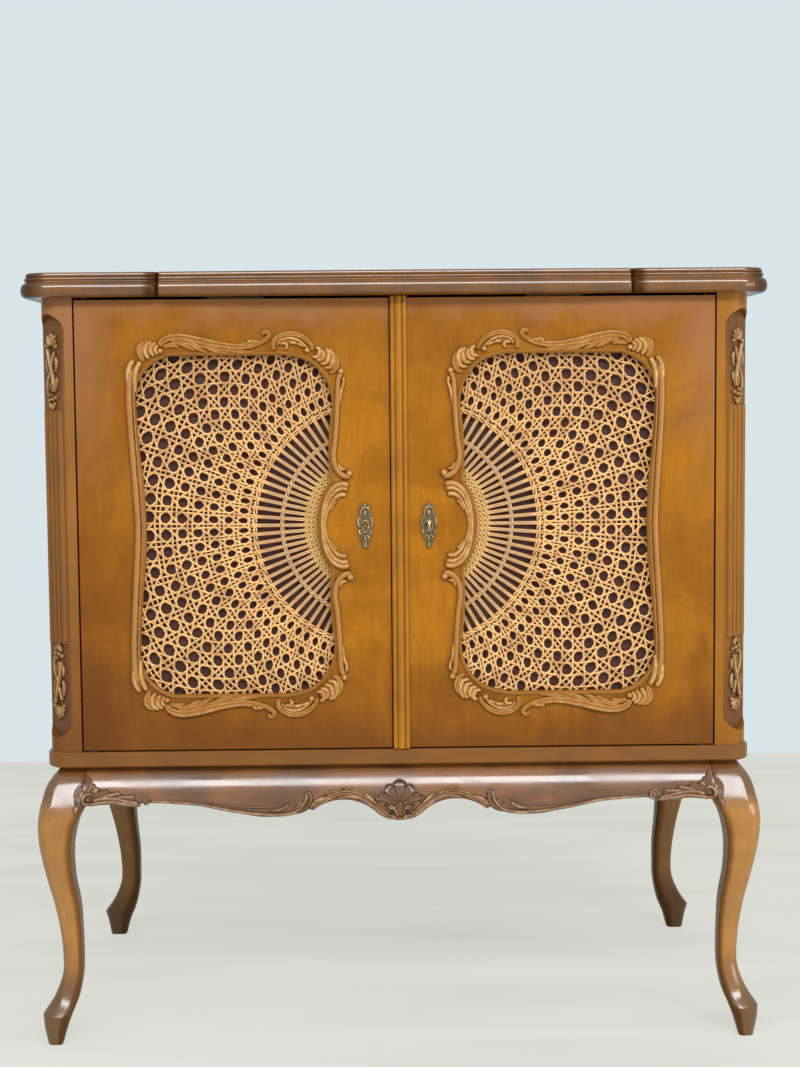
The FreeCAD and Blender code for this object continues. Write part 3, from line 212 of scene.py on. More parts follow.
# Low ground that joins a door's leaves
DOOR_GROUND = (
    (((264, 181), (258, 184.4), (251, 185.4), (246, 185.6)), (5.0, 6.4, 4.0), 2.8),
    (((67, 170), (72.6, 175), (79, 178.6), (85, 181.4)), (5.6, 6.6, 5.2), 2.8),
    (((93, 188), (102, 193), (112, 193.6), (121, 189.6)), (3.0, 4.2, 3.0), 2.4),
    (((275.2, 138), (275.8, 156), (270.6, 171)), (3.0, 5.2, 3.6), 2.8),
)
DOOR_BEADS = ((245.1, 183.9, 3.4), (92.3, 183.7, 3.5), (57.2, 161.4, 3.8), (49.6, 54.8, 4.3))

# Carving of the apron, in mm: across from the middle, height above the floor, left side
APRON_STROKES = (
    (((-35.8, 263.6), (-49.5, 272.4), (-62.1, 275.2)), (1.8, 2.9, 1.3), 3.2, "fluted", 8, 1.1),
    (((-22.1, 256.4), (-30.5, 264.1), (-37.8, 270.6)), (1.7, 2.8, 1.2), 3.3, "round", 8, 1.1),
    (((-56.9, 269.3), (-70.7, 270.5), (-81.3, 267.4)), (1.7, 2.8, 1.3), 3.2, "fluted", 8, 1.1),
    (((-70.7, 265.1), (-82.4, 264.7), (-90.9, 260.5), (-95.2, 254.7)), (1.7, 2.8, 1.6), 3.2),
    (((-1.6, 243.6), (-8.5, 244.4), (-14.4, 247.6), (-21.4, 254), (-31.6, 261.9), (-44.2, 268), (-58, 270.3),
      (-71.8, 267.3), (-82.4, 261.5), (-93.1, 255.2)), (2.4, 3.3, 2.6), 4.2, "fluted", 8, 1.1),
    (((-14, 244.8), (-20, 249.3), (-29.5, 256.5), (-42.1, 264.2), (-54.8, 266.5), (-67.6, 264.5)),
     (2.2, 2.6, 1.4), 3.6),
    (((-264.3, 264.4), (-237.9, 262.6), (-211.5, 260.3), (-185.2, 255), (-158.8, 250.8), (-135.5, 248.7),
      (-120, 249.2), (-109.4, 252.4), (-101.6, 260), (-98.8, 266.5), (-100.4, 271.6)),
     (1.7, 2.0, 2.4), 3.8),
    (((-114, 249.6), (-104.1, 252.5), (-97.4, 257.6), (-94.6, 263.8), (-95.6, 269.4), (-99, 272)),
     (1.6, 3.0, 2.6), 2.8, "round", 8, 0.5),
    (((-205, 262.4), (-185, 259.8), (-165.9, 257.3), (-142.6, 256.4), (-132.6, 257.6), (-125.9, 260.2),
      (-120.9, 262.4), (-117.2, 261.2)), (0.7, 1.2, 1.3), 2.2, "round", 8, 0.75),
    (((-137, 252.2), (-129.2, 253.6), (-122.6, 255.6), (-117.6, 259.6)), (1.3, 1.8, 1.6), 2.8),
    (((-113, 253.4), (-106.4, 258.6), (-104.4, 264)), (1.2, 1.8, 1.5), 3.2),
)
KNEE_STROKES = (
    (((-274.4, 260.2), (-290.8, 261.6), (-305.5, 263.6), (-320.2, 262.6), (-329, 261)), (2.1, 2.6, 2.1), 3.2),
    (((-276.4, 262), (-288.8, 264), (-300.5, 266.6), (-315.2, 267.2), (-325.4, 264.6)), (2.2, 3.0, 2.5), 3.9),
    (((-280.6, 270.4), (-285, 268.2), (-292.6, 268.6), (-303.4, 267.6)), (3.0, 2.4, 1.8), 3.4),
    (((-295.3, 272.3), (-306.3, 270.5), (-316, 268.1)), (3.4, 2.9, 2.1), 3.7),
    (((-307.5, 274.9), (-315.6, 272.3), (-323, 269.4)), (3.6, 3.5, 2.5), 4.0, "fluted"),
    (((-320.4, 279.2), (-322.2, 275.3), (-327.4, 272.6)), (3.2, 3.8, 2.8), 4.2),
    (((-324.3, 282.6), (-325.6, 278.7), (-331, 275.6)), (3.0, 3.6, 2.8), 4.0, "fluted"),
    (((-334.6, 288.4), (-330.9, 286.2), (-329.3, 280.7), (-330.4, 274.7), (-332.6, 269.6)),
     (2.8, 4.0, 3.0), 4.5, "fluted"),
    (((-336.4, 280.6), (-340.4, 275.4), (-341.4, 269), (-339.4, 263)), (2.8, 4.0, 2.8), 3.8, "fluted"),
    (((-335.4, 277.2), (-337, 271.2), (-336.6, 265)), (2.5, 3.2, 2.2), 3.4),
    (((-324.9, 269.9), (-329.3, 271.9), (-333.9, 270.1), (-335.2, 265.8), (-332.4, 262.2), (-327.3, 261.9)),
     (2.2, 2.6, 2.0), 5.0),
    (((-338.4, 261.9), (-341.8, 258.6), (-342, 255.2), (-339.6, 253.9)), (2.4, 3.1, 2.2), 4.2),
    (((-274.6, 262.6), (-274, 267.4), (-270.5, 269.6), (-267, 267.3), (-266.8, 262.8), (-270.7, 260.4)),
     (1.9, 2.0, 1.8), 3.8),
)
# Low ground that joins the knee leaves
KNEE_GROUND = (
    (((-334.4, 286), (-332, 278), (-332.6, 269)), (3.4, 6.4, 8.0), 3.0),
    (((-338, 277), (-339.8, 268), (-339.4, 260), (-340.6, 256)), (3.6, 4.6, 2.8), 2.7),
    (((-334, 267.6), (-322, 270.4), (-308, 268.6), (-292, 266.6), (-280, 264.6)), (7.4, 6.0, 2.8), 2.6),
)
KNEE_BEADS = ((-270.6, 265, 3.6), (-329.9, 265.9, 2.4))
SHELL_MIDDLE = 259.0
# Lobes of the shell: angle from upright in degrees, reach and half width in mm
SHELL_LOBES = ((0, 23.4, 8.2), (40, 22.6, 7.6), (72.5, 26, 5.2))
SHELL_PAIRS = (
    (((2.6, 245.2), (3.9, 250.4), (6.8, 253.9), (12.6, 253.6)), (1.5, 1.8, 1.3), 4.6),
    (((3.6, 257.4), (9.6, 259.4), (16.4, 257.2)), (1.5, 2.7, 1.4), 4.6, "fluted"),
    (((3.2, 254.2), (8.4, 256), (15, 254.6)), (1.2, 1.9, 1.1), 4.2),
    (((14.6, 252), (12.8, 247.8), (8.2, 246.2), (4.4, 246.6)), (1.2, 1.5, 1.2), 3.8),
)
# Beads of the shell: across, height above the floor, radius and crest; the first two are the volutes' eyes,
# dark as painted shade
SHELL_BEADS = ((8.7, 249.8, 2.4, 1.6, 0.05), (-8.7, 249.8, 2.4, 1.6, 0.05), (0, 258.6, 2.6, 5.6),
               (0, 243.4, 2.4, 4.4))

# One leaf spray of a corner post, in mm: across the niche, up from its foot; the lower one hangs upside down
SPRAY_STROKES = (
    (((0, 69), (0, 76), (0, 83)), (1.4, 3.0, 2.2), 4.4, "fluted"),
    (((-6, 67), (-2.4, 56), (1.8, 40.6), (5.6, 27.4), (5, 19.8)), (2.0, 2.4, 2.0), 5.4),
    (((5.4, 63), (2.8, 54), (-0.6, 45)), (1.7, 2.0, 1.2), 4.2),
    (((-7.6, 59), (-8.6, 49), (-6.2, 40)), (1.4, 2.5, 1.2), 3.8, "fluted"),
    (((7.2, 58), (8.6, 49), (6.2, 40)), (1.4, 2.5, 1.2), 3.8, "fluted"),
    (((-1.4, 43), (-4.8, 33), (-6.8, 24), (-6.2, 17)), (1.4, 2.3, 1.8), 4.4),
    (((0.4, 35), (-1.4, 27.6), (-0.4, 20)), (1.2, 2.1, 1.2), 3.6, "fluted"),
    (((8.4, 37), (8.8, 31), (7.6, 24.6)), (1.2, 1.9, 1.2), 3.4),
    (((-7.2, 14.6), (-3.6, 17.6), (1.4, 16.8)), (1.8, 2.6, 1.6), 4.2, "fluted"),
    (((5.8, 10.6), (2.2, 6), (0, 0.6)), (2.0, 2.9, 1.1), 4.0, "fluted"),
    (((-5.8, 10.2), (-2.6, 6.2), (-0.8, 2.2)), (1.8, 2.6, 1.0), 3.8, "fluted"),
)
SPRAY_PAIRS = (
    (((1, 69), (4.2, 75.6), (6.2, 80.6)), (1.3, 2.7, 1.8), 4.2, "fluted"),
    (((1.5, 68), (5.6, 71.6), (8.8, 75)), (1.2, 2.5, 1.7), 4.0, "fluted"),
)
SPRAY_BEADS = ((0, 71.4, 3.0), (8.2, 68.2, 2.7), (-8.2, 68.4, 2.7), (6.4, 14.6, 2.6), (1.2, 13, 2.7),
               (-4.2, 12, 2.4))
# From the foot of a spray to the end of the post's carving
SPRAY_HEIGHT = 89

# Keyhole plate, in mm from its middle
PLATE_STROKES = (
    (((-4, 8.6), (-4.9, 13.4), (-3, 17.4), (0, 18.8), (3, 17.4), (4.9, 13.4), (4, 8.6)),
     (0.8, 1.15, 0.8), 1.7),
    (((0, 9.4), (0, 13), (0, 16)), (0.8, 2.0, 0.7), 1.6, "fluted"),
    (((0, -9.4), (0, -13.8), (0, -18)), (0.9, 1.7, 0.7), 1.6, "fluted"),
    (((-3.7, 0), (-2.6, 3.4), (0, 5.2), (2.6, 3.4), (3.7, 0)), (0.7, 0.8, 0.7), 1.3),
    (((-3.7, 0), (-2.8, -4.6), (0, -8.2), (2.8, -4.6), (3.7, 0)), (0.7, 0.8, 0.7), 1.3),
)
PLATE_PAIRS = (
    (((3.4, 8.2), (6.6, 7), (7.6, 2.6), (6.2, -1.4), (4.6, -3.2)), (0.8, 1.3, 0.8), 1.7),
    (((4.4, -4), (6.4, -6.2), (5.4, -9.4), (3.2, -9.8)), (0.7, 1.2, 0.7), 1.5),
    (((0.8, -10), (3.4, -11.6), (4.6, -15.6)), (0.7, 1.3, 0.6), 1.4, "fluted"),
    (((1.6, 18), (3.8, 19.2), (4.6, 17)), (0.5, 0.8, 0.5), 1.2),
)
PLATE_BEADS = ((0, 21.4, 1.6), (0, -19.6, 1.3), (0, -22.6, 2.0))

# Radii of the cane's ring pairs round the fan's middle, in mm
RING_RADII = (133, 149.2, 164.3, 180.6, 197.4, 214.2, 231.5, 249.2, 267, 285, 303, 321)
# Angle between the ray pairs in degrees, its gain further out, and the radius and run of that gain in mm
RAY_PITCH, RAY_PITCH_GAIN, GAIN_RADIUS, GAIN_RUN = 4.25, 0.47, 142, 80
# Ray pairs and slanting strands on either side of the middle, and how far rings reach, in ray pitches
RAYS, SLANTS, NET_REACH = 19, 36, 21
# Half gaps of a ray pair, in ray pitches and at least in mm, and of a stick pair in mm
RAY_GAP, LEAST_RAY_GAP, STICK_GAP = 0.14, 1.2, 0.92
# How far rings, rays and slanting strands waver, in pitches
RING_SWAY, RAY_SWAY, SLANT_SWAY = 0.035, 0.03, 0.04
# How far strands keep from the panel's sides and ends, in metres
SIDE_MARGIN, END_MARGIN = 0.0002, 0.0005
# Sticks of the fan: where they start in mm, their steps, their lift in metres, and their width and thickness
# as shares of a strand's
STICK_START, STICK_STEPS, STICK_LIFT, STICK_WIDTH, STICK_THICKNESS = 44, 14, 0.00012, 0.82, 1.3
# Strands that bind the sticks: radius and wave in mm; depth in metres
BINDINGS, BINDING_DEPTH = ((100, 1.3), (129, 1.6)), 0.0011
# Tight band round the fan's middle: radius of its first row and pitch in mm, and its rows
BAND_RADIUS, BAND_PITCH, BAND_ROWS = 44.5, 2.25, 15

# Stage, in metres: corners of the floor, and for each lamp its size, place and aim
FLOOR_CORNERS = ((-3, -3.2, 0), (3, -3.2, 0), (3, 1.27, 0), (-3, 1.27, 0))
KEY_LAMP = ((4.0, 0.65), (0.1, -2.6, 2.4), (0, 0, 0.42))
FILL_LAMP = ((1.6, 1.2), (2.1, -1.9, 0.7), (0, 0, 0.4))
LAMP_COLOUR, ROOM_COLOUR = (0.93, 0.965, 1), (0.96, 0.98, 1, 1)
# The photograph's viewpoint, solved from the cabinet's edges: pitch, yaw and roll in degrees,
# place in metres, focal length and height of the picture in pixels, and the sensor in mm
VIEW_TURNS, VIEW_PLACE = (4.517, 0.759, 0.516), (-0.0214, -2.0296, 0.6905)
VIEW_FOCAL, VIEW_PIXELS, VIEW_SENSOR = 1750, 1067, 36

# Finishes of the CAD pieces that show as they are
NODE_FINISHES = {
    "door_veneer": ("left_door_panel", "right_door_panel"),
    "post_wood": ("left_corner_post", "right_corner_post"),
    "case_wood": ("left_side_panel", "right_side_panel", "meeting_strip"),
    "base_wood": ("base_board",),
    "apron_wood": ("left_apron", "right_apron", "rear_rail"),
    "inner_wood": ("back_panel", "shelf", "left_top_cleat", "right_top_cleat", "door_stops", "corner_blocks",
                   "record_divider_1", "record_divider_2", "record_divider_3"),
    "dark_backing": ("left_backing_board", "right_backing_board", "left_backing_beads",
                     "right_backing_beads"),
    "plate_brass": ("left_escutcheon", "right_escutcheon"),
    "plain_brass": ("left_escutcheon_nails", "right_escutcheon_nails", "key"),
    "dark_iron": ("left_door_pivots", "right_door_pivots", "pivot_bushes"),
    "steel": ("back_panel_screws", "shelf_pins", "top_screws", "corner_block_screws", "strike", "bolt_guides",
              "lock_case", "lock_screws", "lock_bolt", "upper_bolt", "lower_bolt"),
}


def number(name, description, default, **limits):
    """A number that a user may change."""
    return bpy.props.FloatProperty(name=name, description=description, default=default, **limits)


def length(name, description, default):
    """A length that a user may change, in metres."""
    return number(name, description, default, min=0, precision=4, unit="LENGTH", subtype="DISTANCE")


def colour(name, description, default):
    """A colour that a user may change, in linear light."""
    return bpy.props.FloatVectorProperty(name=name, description=description, default=default, size=3,
                                         min=0, max=1, subtype="COLOR")


class FinishSettings(bpy.types.PropertyGroup):
    """Colours of the woods, the cane and the metals."""
    veneer: colour("Veneer", "Golden veneer of the doors", (0.385, 0.141, 0.006))
    veneer_dark: colour("Veneer figure", "Darker figure of the doors' veneer", (0.215, 0.068, 0.003))
    # Toned varnish and painted shade along the doors' edges, also used at the posts' feet
    veneer_edge_tone_and_shade: colour("Veneer edge", "Toned varnish along the doors' edges", (0.115, 0.034, 0.007))
    # Painted reflection: pale haze on the upper parts of the doors and posts
    veneer_reflection_colour: colour("Veneer haze", "Hazy varnish at the doors' upper corners", (0.30, 0.128, 0.050))
    case: colour("Case", "Wood of the posts, sides and strip", (0.39, 0.155, 0.013))
    case_dark: colour("Case figure", "Darker figure of the case", (0.23, 0.083, 0.010))
    # Painted shade on the ground of the niches, where shadow falls
    niche: colour("Niche", "Dark glaze on the ground of the niches", (0.140, 0.056, 0.016))
    base: colour("Base", "Wood of the base board", (0.205, 0.074, 0.008))
    base_dark: colour("Base figure", "Darker figure of the base board", (0.15, 0.056, 0.010))
    top: colour("Top", "Wood of the moulded top", (0.178, 0.064, 0.007))
    top_dark: colour("Top figure", "Darker figure of the top", (0.085, 0.030, 0.006))
    leg: colour("Legs", "Wood of the legs", (0.40, 0.170, 0.025))
    leg_dark: colour("Legs figure", "Darker figure of the legs", (0.25, 0.092, 0.012))
    apron: colour("Aprons", "Wood of the aprons", (0.225, 0.087, 0.022))
    apron_dark: colour("Aprons figure", "Darker figure of the aprons", (0.10, 0.038, 0.014))
    # Carving: crests lightened for rubbing and as painted highlights, recesses darkened by glaze and painted
    # shade
    carved: colour("Carving", "Wood of the doors' carving", (0.37, 0.155, 0.030))
    carved_crest_wear_and_highlight: colour("Carving crests", "Rubbed crests of the doors' carving", (0.55, 0.310, 0.110))
    carved_dark_glaze_and_shade: colour("Carving recess", "Dark glaze in the carving's recesses", (0.050, 0.018, 0.005))
    bronzed: colour("Apron carving", "Wood of the carving on the aprons", (0.155, 0.064, 0.022))
    bronzed_crest_wear_and_highlight: colour("Apron crests", "Rubbed crests of the carving on the aprons", (0.40, 0.225, 0.095))
    gilded: colour("Post carving", "Wood of the leaves on the posts", (0.23, 0.100, 0.024))
    gilded_crest_wear_and_highlight: colour("Post crests", "Rubbed crests of the leaves on the posts", (0.52, 0.320, 0.130))
    cane: colour("Cane", "Pale face of the cane strands", (0.83, 0.465, 0.165))
    # Darker streaks of the cane, also the colour of its painted shade and shadow
    cane_streaks_and_shade: colour("Cane shade", "Darker streaks of the cane strands", (0.42, 0.185, 0.055))
    cane_stick: colour("Cane sticks", "Brown of the fan's sticks", (0.47, 0.265, 0.120))
    cane_band: colour("Cane band", "Straw colour of the fan's tight band", (0.58, 0.370, 0.120))
    backing: colour("Backing", "Dark cloth colour behind the cane", (0.060, 0.022, 0.016))
    inside: colour("Inside", "Pale wood of the inside", (0.50, 0.33, 0.18))
    brass: colour("Brass", "Worn crests of the old brass", (0.56, 0.41, 0.21))
    steel: colour("Steel", "Dull steel of the lock, bolts and screws", (0.36, 0.35, 0.33))


class ShapeSettings(bpy.types.PropertyGroup):
    """Sizes of the pieces that are carved, turned and woven here."""
    moulding_inset: length("Moulding inset", "How far the top's moulding goes in", 0.0072)
    bow: length("Bow", "How far the top's front bows out", 0.004)
    cusp_offset: length("Cusp offset", "Where the top's front steps back, from the middle", 0.243)
    cusp_depth: length("Cusp depth", "Depth of the notch at the step", 0.008)
    top_corner: length("Top corner", "Radius of the top's front corners", 0.033)
    rear_corner: length("Rear corner", "Radius of the top's rear corners", 0.012)
    sight_edge_width: length("Sight edge width", "Width of the plain rim round a door's opening", 0.0036)
    sight_edge_rise: length("Sight edge rise", "Height of the plain rim round a door's opening", 0.0018)
    strand_width: length("Strand width", "Width of a cane strand", 0.0022)
    strand_thickness: length("Strand thickness", "Thickness of a cane strand", 0.0010)
    basket_width: length("Basket width", "Width of the strands in the tight band", 0.0024)
    basket_thickness: length("Basket thickness", "Thickness of the strands in the tight band", 0.0016)
    fan_centre: length("Fan centre", "Where the cane's rays meet, from the cabinet's middle", 0.0212)
    ring_gap: number("Ring gap", "Half the gap of a ring pair, in ring pitches", 0.15, min=0.05, max=0.4,
                     subtype="FACTOR")
    weave_depth: length("Weave depth", "How far ring and ray strands go over and under", 0.0006)
    cross_depth: length("Cross depth", "How far the slanting strands go over and under", 0.0009)
    basket_depth: length("Basket depth", "How far the tight band's strands go over and under", 0.0013)


class StageSettings(bpy.types.PropertyGroup):
    """Light, floor and backdrop."""
    wall: colour("Backdrop", "Pale backdrop", (0.685, 0.785, 0.815))
    floor: colour("Floor", "Pale floor", (0.775, 0.785, 0.715))
    floor_glow: number("Floor glow", "How far the floor shows its plain colour", 0.72, min=0, max=1,
                       subtype="FACTOR")
    key_power: number("Key light", "Power of the large soft light", 100, min=0, subtype="POWER", unit="POWER")
    fill_power: number("Fill light", "Power of the side light", 22, min=0, subtype="POWER", unit="POWER")
    room_light: number("Room light", "Strength of the light from all round", 0.48, min=0)


def ease(share):
    """A share that starts and ends slowly."""
    return share * share * (3 - 2 * share)


def circle_through(start, via, end):
    """Centre and radius of the circle through three points; None where they are in line."""
    (ax, ay), (bx, by), (cx, cy) = start, via, end
    turn = 2 * (ax * (by - cy) + bx * (cy - ay) + cx * (ay - by))
    if abs(turn) < 1e-9:
        return None
    a, b, c = (x * x + y * y for x, y in (start, via, end))
    ux = (a * (by - cy) + b * (cy - ay) + c * (ay - by)) / turn
    uy = (a * (cx - bx) + b * (ax - cx) + c * (bx - ax)) / turn
    return ux, uy, math.hypot(ax - ux, ay - uy)


def arc_points(start, via, end, count):
    """Points on the circle through three points, without the last one; a line where they are in line."""
    circle = circle_through(start, via, end)
    if circle is None:
        return [tuple(a + (b - a) * i / count for a, b in zip(start, end)) for i in range(count)]
    ux, uy, radius = circle
    first, middle, last = (math.atan2(y - uy, x - ux) for x, y in (start, via, end))
    sweep = (last - first) % math.tau
    if (middle - first) % math.tau > sweep:
        sweep -= math.tau
    angles = [first + sweep * i / count for i in range(count)]
    return [(ux + radius * math.cos(a), uy + radius * math.sin(a)) for a in angles]


def smooth_line(points, step):
    """Points about a step apart on a smooth line through the given ones."""
    ends = [tuple(2 * a - b for a, b in zip(points[0], points[1])),
            tuple(2 * a - b for a, b in zip(points[-1], points[-2]))]
    rows = [ends[0], *points, ends[1]]
    line = []
    for p0, p1, p2, p3 in zip(rows, rows[1:], rows[2:], rows[3:]):
        count = max(2, math.ceil(math.dist(p1, p2) / step))
        for i in range(count):
            t = i / count
            line.append(tuple(
                0.5 * (2 * b + (c - a) * t + (2 * a - 5 * b + 4 * c - d) * t**2
                       + (3 * b - a - 3 * c + d) * t**3)
                for a, b, c, d in zip(p0, p1, p2, p3)))
    return line + [tuple(points[-1])]


def skin(rings, size, loop=False, first=0):
    """Faces between rings of points in a row; the ends get caps unless the rings make a loop."""
    starts = [first + i * size for i in range(rings)]
    following = starts[1:] + starts[:1] if loop else starts[1:]
    faces = [(a + j, a + (j + 1) % size, b + (j + 1) % size, b + j)
             for a, b in zip(starts, following) for j in range(size)]
    if not loop:
        faces += [tuple(range(end, end + size)) for end in (starts[0], starts[-1])]
    return faces


def plain_mesh(name, verts, faces, crease):
    """A closed mesh with its faces outwards, smooth apart from its sharp edges."""
    mesh = bpy.data.meshes.new(name)
    mesh.from_pydata([tuple(v) for v in verts], [], faces)
    shell = bmesh.new()
    shell.from_mesh(mesh)
    bmesh.ops.recalc_face_normals(shell, faces=shell.faces)
    shell.to_mesh(mesh)
    shell.free()
    mesh.shade_smooth()
    mesh.set_sharp_from_angle(angle=math.radians(crease))
    return mesh


def placed(name, data):
    """A new object at the origin of the scene."""
    made = bpy.data.objects.new(name, data)
    bpy.context.scene.collection.objects.link(made)
    return made


def as_mesh(helper):
    """Plain mesh of a helper object with its modifiers; the helper is taken away."""
    made = bpy.data.meshes.new_from_object(helper.evaluated_get(bpy.context.evaluated_depsgraph_get()))
    data = helper.data
    helper.modifiers.clear()
    bpy.data.objects.remove(helper)
    bpy.data.meshes.remove(data)
    return made


def finish_named(name):
    """A material that the finishes step made."""
    found = bpy.data.materials.get(f"{name}_finish")
    if found is None:
        raise RuntimeError(f"make the finishes first: {name} is missing")
    return found


def piece(name, mesh, finish, body, slot, *nodes):
    """Puts a mesh into the scene as a finished piece that rides on a body and stands for CAD nodes."""
    mesh.materials.clear()
    mesh.materials.append(finish_named(finish))
    made = placed(name, mesh)
    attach(made, body)
    if nodes:
        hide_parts(*nodes)


class Carving:
    """Rounded strokes and beads, gathered into one mesh that lies on a surface."""

    def __init__(self, place, sink):
        """Takes the function that places a point, and how far the carving reaches into the ground, in mm."""
        self.place = place
        self.sink = sink
        self.verts = []
        self.faces = []
        self.relief = []

    def add(self, rings):
        """Adds a closed shape; each point of its rings is across, up, height and relief."""
        self.faces += skin(len(rings), len(rings[0]), first=len(self.verts))
        for ring in rings:
            for across, up, height, relief in ring:
                self.verts.append(self.place(across, up, height))
                self.relief.append(relief)

    def stroke(self, points, widths, crest, crown="round", steps=8, shade=1.0):
        """A rib with a domed back along a smooth line; widths are half widths at start, middle and end."""
        shine = shade * (FLUTE_SHINE if crown == "fluted" else 1)
        line = smooth_line(points, STROKE_STEP)
        run = [0]
        for a, b in zip(line, line[1:]):
            run.append(run[-1] + math.dist(a, b))
        rings = []
        for i, (across, up) in enumerate(line):
            ahead, behind = line[min(i + 1, len(line) - 1)], line[max(i - 1, 0)]
            dx, dy = ahead[0] - behind[0], ahead[1] - behind[1]
            share = run[i] / run[-1]
            half = widths[1] + (widths[0 if share < 0.5 else 2] - widths[1]) * ease(abs(2 * share - 1))
            near_end = min(1, min(run[i], run[-1] - run[i]) / half)
            end = math.sqrt(max(BLUNT_END, 1 - (1 - near_end)**2))
            tall = crest * end * (NARROW_HEIGHT + (1 - NARROW_HEIGHT) * half / max(widths))
            wide = half * end / (math.hypot(dx, dy) or 1)
            nx, ny = -dy * wide, dx * wide
            ring = [(across - nx, up - ny, -self.sink, 0)]
            for turn in (math.pi * j / steps for j in range(steps + 1)):
                side = -math.cos(turn)
                dome = math.sin(turn) * CROWNS[crown](side)
                ring.append((across + nx * side, up + ny * side, tall * dome, dome * end * shine))
            ring.append((across + nx, up + ny, -self.sink, 0))
            rings.append(ring)
        self.add(rings)

    def strokes(self, rows, *turns, lift=0, **look):
        """Carves each row of a table, once for each pair of factors that turn it across and up."""
        for points, *rest in rows:
            for aside, upward in turns:
                self.stroke([(aside * a, lift + upward * b) for a, b in points], *rest, **look)

    def bead(self, across, up, radius, crest, shade=1.0):
        """A half round boss; a low shade keeps it dark."""
        turns = [math.tau * j / BEAD_SIDES for j in range(BEAD_SIDES)]
        levels = [(radius, -self.sink, 0)]
        for level in (i / (BEAD_RINGS - 1) for i in range(BEAD_RINGS)):
            angle = level * math.pi / 2
            wide, tall = radius * math.cos(angle * BEAD_REACH), crest * math.sin(angle)
            levels.append((wide, tall, shade * level**0.5))
        self.add([[(across + wide * math.cos(a), up + wide * math.sin(a), tall, relief) for a in turns]
                  for wide, tall, relief in levels])

    def mesh(self, name):
        """The finished mesh, with the relief kept as an attribute."""
        made = plain_mesh(name, self.verts, self.faces, CREASES["carving"])
        made.attributes.new("relief", "FLOAT", "POINT").data.foreach_set("value", self.relief)
        return made


def plug(made, values):
    """Gives a node's inputs numbers, colours, fields or other nodes' outputs, by name or number."""
    for key, value in values.items():
        if isinstance(value, Field):
            value = value.socket
        if isinstance(value, bpy.types.NodeSocket):
            made.id_data.links.new(value, made.inputs[key])
        else:
            made.inputs[key].default_value = value


def node(tree, kind, values=None, **settings):
    """Adds a node to a tree."""
    made = tree.nodes.new(kind)
    for name, setting in settings.items():
        setattr(made, name, setting)
    plug(made, values or {})
    return made


class Field:
    """A number that varies over a surface, open to plain reckoning."""

    def __init__(self, tree, socket):
        self.tree = tree
        self.socket = socket

    def reckon(self, operation, *values):
        """One step of reckoning."""
        made = node(self.tree, "ShaderNodeMath", dict(enumerate(values)), operation=operation)
        return Field(self.tree, made.outputs[0])

    def __add__(self, other):
        return self.reckon("ADD", self, other)

    def __sub__(self, other):
        return self.reckon("SUBTRACT", self, other)

    def __rsub__(self, other):
        return self.reckon("SUBTRACT", other, self)

    def __mul__(self, other):
        return self.reckon("MULTIPLY", self, other)

    def __abs__(self):
        return self.reckon("ABSOLUTE", self)

    def most(self, other):
        """The larger of two."""
        return self.reckon("MAXIMUM", self, other)

    def away(self, other):
        """Distance of a point with these two coordinates from the origin."""
        squares = self * self + other * other
        return squares.reckon("SQRT", squares)

    def spread(self, low, high, to_low=0.0, to_high=1.0, ease_kind="SMOOTHSTEP"):
        """Maps a range onto another range."""
        made = node(self.tree, "ShaderNodeMapRange", {"Value": self, 1: low, 2: high, 3: to_low, 4: to_high},
                    interpolation_type=ease_kind)
        return Field(self.tree, made.outputs[0])

    def near(self, reach, most):
        """How strongly an edge tells at this distance from it."""
        return self.spread(0.0, reach, most, 0.0)


class Surface:
    """A material in the making, with the fields that its colours are mixed by."""

    def __init__(self, name):
        self.material = bpy.data.materials.new(f"{name}_finish")
        self.material.use_nodes = True
        self.tree = self.material.node_tree
        self.shader = next(n for n in self.tree.nodes if n.type == "BSDF_PRINCIPLED")
        self.place = node(self.tree, "ShaderNodeTexCoord").outputs["Object"]

    def axes(self):
        """The place across, along and up, in the piece's own coordinates."""
        parts = node(self.tree, "ShaderNodeSeparateXYZ", {0: self.place}).outputs
        return [Field(self.tree, part) for part in parts]

    def noise(self, scale, stretch=(1, 1, 1), detail=4.0, rough=0.55, bend=0.0):
        """A noise that may be drawn out along the grain."""
        turned = node(self.tree, "ShaderNodeMapping", {"Vector": self.place, "Scale": stretch}).outputs[0]
        made = node(self.tree, "ShaderNodeTexNoise", {"Vector": turned, "Scale": scale, "Detail": detail,
                                                      "Roughness": rough, "Distortion": bend})
        return Field(self.tree, made.outputs[0])

    def ragged(self, scale, most):
        """A small shift to and fro that makes an edge uneven."""
        return self.noise(scale).spread(0.25, 0.75, -most, most, "LINEAR")

    def attribute(self, name):
        """A value kept at the mesh's points."""
        return Field(self.tree, node(self.tree, "ShaderNodeAttribute", attribute_name=name).outputs["Fac"])

    def blend(self, factor, low, high):
        """A colour between two colours."""
        low, high = ((*c, 1) if isinstance(c, tuple) else c for c in (low, high))
        return node(self.tree, "ShaderNodeMix", {0: factor, 6: low, 7: high}, data_type="RGBA").outputs[2]

    def finish(self, looks, height, strength, distance):
        """Sets the shader's inputs, adds fine relief and returns the material."""
        rub = {"Height": height, "Strength": strength, "Distance": distance}
        plug(self.shader, {**looks, "Normal": node(self.tree, "ShaderNodeBump", rub).outputs[0]})
        return self.material


def shaded(tone, share):
    """A colour made darker, or lighter with a share above one."""
    return tuple(c * share for c in tone)


def stretched(grain, share):
    """Scale that draws a noise out along the grain."""
    return tuple(share if axis == grain else 1 for axis in "XYZ")


